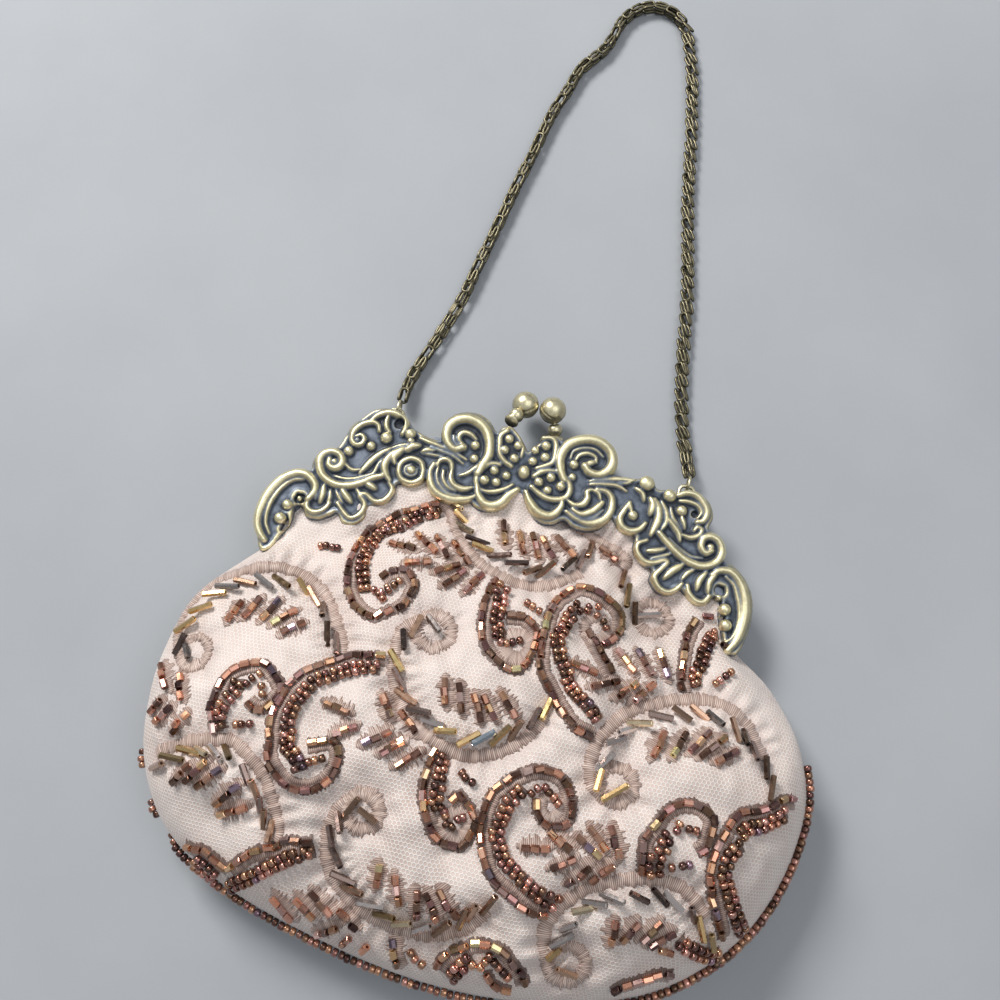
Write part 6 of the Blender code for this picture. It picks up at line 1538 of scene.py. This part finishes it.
def make_panels():
    """The front and back panels and their linings."""
    front = make_cloth("front_cloth", 104, puckered_front, ground, net_cloth, 1)
    x, y = (np.array([vertex.co[k] for vertex in front.data.vertices]) / METRE for k in (0, 1))
    # Painted shade: how near each place is to the stitching, strongest within a few millimetres of it.
    add_values(front, "painted_stitch_shade", np.exp(-((drawn_in(x, y)[0] / 3.6) ** 2)))
    bends_open(front)
    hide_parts("front_panel", "front_panel_upper")
    back = make_cloth("back_cloth", 60, smooth_back, back_ground, net_cloth, -1)
    settle(back, "purse", "netted_satin", "back_panel")
    inner_front = make_cloth("front_lining_cloth", 40, under_puckers, plain_ground, lining_cloth, -1, -1.6, 0.985)
    bends_open(inner_front)
    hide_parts("front_lining", "front_lining_upper")
    inner_back = make_cloth("back_lining_cloth", 40, smooth_back, back_ground, lining_cloth, 1, 1.2, 0.985)
    settle(inner_back, "purse", "lining_satin", "back_lining")


make_panels()


# ---- satin stitch ----


def kept_in(flat):
    """Places moved in where they would lie past the purse's edge."""
    away = flat - BAG_CENTRE
    far = np.hypot(away[:, 0], away[:, 1])
    limit = bag_reach(np.arctan2(away[:, 1], away[:, 0])) - 0.5
    return BAG_CENTRE + away * np.minimum(1, limit / np.maximum(far, 1))[:, None]


def sideways(run):
    """Directions to the left of others on the flat."""
    return np.stack([-run[:, 1], run[:, 0]], axis=1)


def per_thread(count, low, high):
    """A random value for each thread, which two rows of vertices share."""
    thread = np.arange(count) // 2
    return rng.uniform(low, high, thread[-1] + 1)[thread]


def laid_threads(count, columns, flat_at, shade, rise, tuck):
    """Vertices and shades of threads laid over the cloth, painted dark in the rows between threads and darker towards
    their ends. Columns run from -1 to 1 along each thread.
    """
    crown = np.arange(count) % 2 == 0
    # Painted shade: the low rows between threads are painted dark.
    shade = shade * np.where(crown, 1, 0.1)
    places, shades = [], []
    for c in np.linspace(-1, 1, columns):
        x, y = kept_in(flat_at(c)).T
        lift = (rise + np.where(crown, 0.18, 0.0)) * math.sqrt(max(0.0, 1 - (c * 0.985) ** 2)) - tuck * abs(c)
        places.append(np.stack([x, y, ground.height(x, y) + lift], axis=1))
        # Painted shade: each thread is darker towards its ends, where it turns down into the cloth.
        shades.append(shade * (1 - 0.35 * c**2))
    return np.stack(places, axis=1).reshape(-1, 3), np.stack(shades, axis=1).reshape(-1)


def stitched_band(line, half_width, rise, taper=False):
    """A band of threads laid across a line on the cloth: each thread has its own length and shade."""
    points = evenly(line, THREAD_SPACING)
    side = sideways(directions(points))
    count = len(points)
    spread = 0.42 if taper else 0.25
    shade = per_thread(count, 0.5, 1)
    reach_left = 1 + per_thread(count, -spread, spread)
    reach_right = 1 + per_thread(count, -spread, spread)
    width = np.full(count, half_width)
    if taper:
        width = half_width * np.sqrt(np.clip(1 - np.linspace(-1, 1, count) ** 2, 0.02, 1))

    def flat_at(c):
        return points + side * (width * np.where(c < 0, reach_left, reach_right) * c)[:, None]

    places, shades = laid_threads(count, 7, flat_at, shade, rise, 0.12)
    return places, grid_faces(count, 7)[:, ::-1], shades


def stitched_curl(centre, outer, inner, rise):
    """A round of radiating threads with an open middle."""
    count = max(50, int(outer * 2 * np.pi / THREAD_SPACING))
    count += count % 2
    turn = full_turn(count)
    shade = per_thread(count, 0.5, 1)
    far_out = outer * (1 + per_thread(count, -0.1, 0.08))
    far_in = inner * (1 + per_thread(count, -0.25, 0.2))

    def flat_at(c):
        far = far_in + (far_out - far_in) * (1 + c) / 2
        return np.stack([centre[0] + far * np.cos(turn), centre[1] + far * np.sin(turn)], axis=1)

    places, shades = laid_threads(count, 8, flat_at, shade, rise, 0.1)
    return places, grid_faces(count, 8, closed_rows=True), shades


def inner_side(line):
    """Which side a line curls towards."""
    run = directions(line)
    bend = run[:-1, 0] * run[1:, 1] - run[:-1, 1] * run[1:, 0]
    return 1 if bend.sum() > 0 else -1


def moved_aside(line, distance):
    return line + sideways(directions(line)) * distance


tube_lines = [ground.line_under(pixels) for pixels in TUBE_LINES.values()]
seed_lines = [ground.line_under(pixels) for pixels in SEED_LINES.values()]


def make_stitching():
    """Arcs and curls in satin stitch, dark threads under the bead rows that are painted darker still as shade round the
    beads, and leaf shapes under the sprays.
    """
    parts, shades = [], []

    def lay(stitches, share=1.0):
        places, faces, shade = stitches
        parts.append((places, faces))
        shades.append(shade * share)

    for name, line in arc_lines.items():
        lay(stitched_band(line, THIN_ARC if name == "top_thread" else BROAD_ARC, 0.8))
    for centre, outer, inner in curl_places:
        lay(stitched_curl(centre, outer * 1.05, inner * 1.3, 0.8))
    # The threads beside and under the bead rows are darkened, partly as a darker thread and partly as painted shade of
    # the beads.
    for line in tube_lines:
        if stations(line)[-1] > 14:
            lay(stitched_band(moved_aside(line, inner_side(line) * 1.9), 1.05, 0.5), 0.6)
        lay(stitched_band(line, 1.55, 0.35), 0.22)
    for line in seed_lines:
        lay(stitched_band(line, 2.0, 0.35), 0.25)
    for *pixels, _ in SPRAYS:
        ends = ground.under(pixels)
        length = np.linalg.norm(ends[1] - ends[0])
        if length >= 5:
            along = (ends[1] - ends[0]) / length
            middle = (ends[0] + ends[1]) / 2 + np.array((-along[1], along[0])) * 0.5
            line = np.stack([middle + along * (length / 2 + 1.6) * k for k in (-1, 0, 1)])
            lay(stitched_band(line, 2.6, 0.45, taper=True), 0.8)
    made = make_object("satin_stitch", *joined(parts), silk)
    add_values(made, "thread", np.concatenate(shades))
    bends_open(made)


make_stitching()


# ---- beads ----


def turned_bead(half, turns):
    """A bead with a hole, turned about the x axis from one half of its outline: one unit long and one in radius."""
    profile = [*half, *((-a, r) for a, r in half[::-1])]
    places = [(a, r * math.cos(t), r * math.sin(t)) for a, r in profile for t in turns]
    return np.array(places), grid_faces(len(profile), len(turns), closed_rows=True, closed_columns=True)[:, ::-1]


def cut_tube(bevel):
    """A six-sided cut tube with bevelled corners."""
    half = ((-0.5 + bevel, 0.4), (-0.5, 0.45), (-0.5, 0.88), (-0.5 + bevel, 1.0))
    return turned_bead(half, (np.arange(6) + 0.5) * 2 * np.pi / 6)


SEED_UNIT = turned_bead(((-0.36, 0.36), (-0.5, 0.62), (-0.42, 0.86), (-0.2, 0.98)), full_turn(12))


class Beads:
    """A growing set of like beads."""

    def __init__(self, name, unit, smooth, palette, odds):
        self.name, self.unit, self.smooth, self.palette, self.odds = name, unit, smooth, palette, odds
        self.centres, self.along, self.up, self.sizes, self.tints = [], [], [], [], []

    def chosen(self, count):
        return self.palette[rng.choice(len(self.palette), count, p=self.odds)]

    def add(self, centres, along, up, size, tints):
        """Beads of one size, each set a little off its place and direction, with its own shade."""
        spread = rng.normal(0, 0.1, centres.shape) * (1, 1, 0.3)
        along = along + rng.normal(0, 0.06, along.shape)
        along = along - up * (along * up).sum(axis=1, keepdims=True)
        along /= np.linalg.norm(along, axis=1, keepdims=True)
        roll = rng.uniform(-0.52, 0.52, len(centres))[:, None]
        across = np.cross(up, along)
        self.up.append(up * np.cos(roll) + across * np.sin(roll))
        self.centres.append(centres + spread)
        self.along.append(along)
        self.sizes.append(size * (1 + rng.uniform(-0.04, 0.04, centres.shape)))
        self.tints.append(np.clip(tints * (0.28 + 1.5 * rng.random((len(tints), 1)) ** 1.2), 0, 0.95))

    def sew(self, flat_line, pitch, lift, size, shift=0.0):
        """A row along a line on the cloth."""
        total = stations(flat_line)[-1]
        count = max(1, int(round((total - shift) / pitch)))
        middles = shift + (np.arange(count) + 0.5) * (total - shift) / count
        flat = at_lengths(flat_line, middles)
        ahead = at_lengths(flat_line, np.minimum(middles + 0.5, total))
        behind = at_lengths(flat_line, np.maximum(middles - 0.5, 0))
        up = ground.normal(flat[:, 0], flat[:, 1])
        places = np.concatenate([flat, ground.height(flat[:, 0], flat[:, 1])[:, None]], axis=1) + up * lift
        run = np.concatenate([ahead - behind, np.zeros((count, 1))], axis=1)
        run[:, 2] = -(run[:, 0] * up[:, 0] + run[:, 1] * up[:, 1]) / np.maximum(up[:, 2], 0.2)
        run /= np.linalg.norm(run, axis=1, keepdims=True)
        self.add(places, run, up, size, self.chosen(count))

    def build(self, *nodes):
        stacks = [np.vstack(part) for part in (self.centres, self.along, self.up, self.sizes)]
        places, faces = repeated(*self.unit, *stacks)
        made = make_object(self.name, places, faces, glass, self.smooth)
        add_colours(made, "tint", np.repeat(np.vstack(self.tints), len(self.unit[0]), axis=0))
        if nodes:
            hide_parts(*nodes)
        return made


def make_beadwork():
    seeds = Beads("seed_beads", SEED_UNIT, True, SEED_TINTS, SEED_ODDS)
    tubes = Beads("cut_beads", cut_tube(0.05), False, COPPERS, COPPER_ODDS)
    bugles = Beads("bugle_beads", cut_tube(0.018), False, None, (1,))
    for line in tube_lines:
        tubes.sew(line, TUBE_LENGTH + 0.28, TUBE_RADIUS * 0.9, np.array((TUBE_LENGTH, TUBE_RADIUS, TUBE_RADIUS)))
    for line in seed_lines:
        for side, shift in ((-1, 0.0), (1, 1.1)):
            seeds.sew(moved_aside(line, side * ROW_SPACING), SEED_LENGTH + 0.45, SEED_RADIUS * 0.85, SEED_SIZE, shift)
    for pixels in SINGLE_SEED_LINES.values():
        seeds.sew(ground.line_under(pixels), SEED_LENGTH + 0.25, SEED_RADIUS * 0.85, SEED_SIZE)
    for *pixels, count in SPRAYS:
        line = ground.under(pixels)
        pitch = np.linalg.norm(line[1] - line[0]) / count
        tubes.sew(line, pitch, TUBE_RADIUS * 0.95 + 0.25, np.array((pitch - 0.12, TUBE_RADIUS, TUBE_RADIUS)))
    for *pixels, tint in BUGLES:
        line = ground.under(pixels)
        length = np.linalg.norm(line[1] - line[0])
        size = np.array((length, BUGLE_RADIUS, BUGLE_RADIUS))
        bugles.palette = np.array([BUGLE_TINTS[tint]])
        bugles.sew(line, length, BUGLE_RADIUS + 0.55, size)
    strands = [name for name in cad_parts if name.startswith("strand_")]
    bends_open(tubes.build(*strands))
    bends_open(seeds.build())
    bends_open(bugles.build())


def make_edging():
    """Beads sewn round the side and bottom seam, one row low and a second on its upper side where it is seen."""
    seeds = Beads("seam_beads", SEED_UNIT, True, SEED_TINTS, SEED_ODDS)
    below = outline[outline[:, 1] < 1]
    peeps = seen_at(np.array(EDGING_PEEPS), SEAM_Z)
    start = seen_at(np.array([EDGING_START]), SEAM_Z)[0, 1]
    for outward, level, low_x in EDGING_ROWS:
        line = moved_aside(smooth_path(below, 3), -outward)
        line = line[line[:, 0] > low_x]
        total = stations(line)[-1]
        count = int(total / EDGING_PITCH)
        flat = at_lengths(line, (np.arange(count) + 0.5) * total / count)
        run = directions(flat)
        along = np.concatenate([run, np.zeros((count, 1))], axis=1)
        peep = sum(np.exp(-((np.hypot(*(flat - place).T) / 3.8) ** 4)) for place in peeps)
        tuck = (eased((-flat[:, 0] - 50) / 12) * eased((flat[:, 1] - start) / 6) * (1 - peep))[:, None]
        places = np.concatenate([flat + sideways(run) * 2.6 * tuck, level - 2.4 * tuck], axis=1)
        seeds.add(places, along, np.tile(UPWARD, (count, 1)), SEED_SIZE, seeds.chosen(count))
    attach(seeds.build("bead_edging"), "purse")


make_beadwork()
make_edging()


# ---- paper cords in the channels ----


def make_cords():
    """Two plies of twisted paper along each channel."""
    line = evenly(at_lengths(arch, np.linspace(0.03, 0.97, 160) * stations(arch)[-1]), 0.6)
    line = moved_aside(line, 1.7)
    for half, side, body in (("front", 1, "front_half"), ("rear", -1, "purse")):
        path = np.concatenate([line, np.full((len(line), 1), MID_Z + side * 2.2)], axis=1)
        _, a, b = carried_frames(path)
        turn = stations(path) * 2 * np.pi / PLY_TWIST
        plies = [swept(path + PLY_PLACE * on_circle(turn + start, a, b), PLY_RADIUS, 8) for start in (0, np.pi)]
        cord = make_object(f"{half}_paper_cord", *joined(plies), paper)
        settle(cord, body, "paper_cord", f"{half}_channel_cord")


make_cords()

for name, material in (
    ("front_frame", strip_brass), ("rear_frame", strip_brass),
    ("hinge_rivet_left", rivet_brass), ("hinge_rivet_right", rivet_brass),
):
    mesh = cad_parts[name].data
    mesh.materials.clear()
    mesh.materials.append(material)


# ---- light and ground ----


def make_floor():
    mesh = bpy.data.meshes.new("floor")
    half = 6.0
    mesh.from_pydata([(-half, -half, 0), (half, -half, 0), (half, half, 0), (-half, half, 0)], [], [(0, 1, 2, 3)])
    floor = bpy.data.objects.new("floor", mesh)
    floor.location = (0, 0.06, -0.0002)
    mesh.materials.append(floor_material())
    bpy.context.scene.collection.objects.link(floor)


def make_light(name, place, size, power, colour):
    data = bpy.data.lights.new(name, "AREA")
    data.shape = "RECTANGLE"
    data.size, data.size_y = size
    data.energy = power
    data.color = colour
    light = bpy.data.objects.new(name, data)
    light.location = place
    light.rotation_euler = (Vector((0, 0.05, 0)) - Vector(place)).to_track_quat("-Z", "Y").to_euler()
    bpy.context.scene.collection.objects.link(light)


make_floor()
make_light("window_light", (-0.75, 0.75, 0.95), (0.55, 0.4), 17.5, (1.0, 0.985, 0.96))
make_light("sky_light", (0.5, 0.1, 1.3), (1.0, 1.0), 4.0, (0.95, 0.98, 1.0))


def make_world():
    """A plain sky, paler above than at its sides."""
    world = bpy.data.worlds.new("studio")
    bpy.context.scene.world = world
    world.use_nodes = True
    tree = world.node_tree
    sky = tree.nodes["Background"]
    direction, upward, tone = (tree.nodes.new(f"ShaderNode{kind}") for kind in ("TexCoord", "SeparateXYZ", "ValToRGB"))
    tree.links.new(direction.outputs["Generated"], upward.inputs["Vector"])
    tree.links.new(upward.outputs["Z"], tone.inputs["Fac"])
    tree.links.new(tone.outputs["Color"], sky.inputs["Color"])
    for element, colour in zip(tone.color_ramp.elements, (SKY_LOW, SKY_HIGH)):
        element.color = (*colour, 1)
    sky.inputs["Strength"].default_value = SKY_STRENGTH


make_world()
bpy.context.scene.view_settings.view_transform = "Standard"
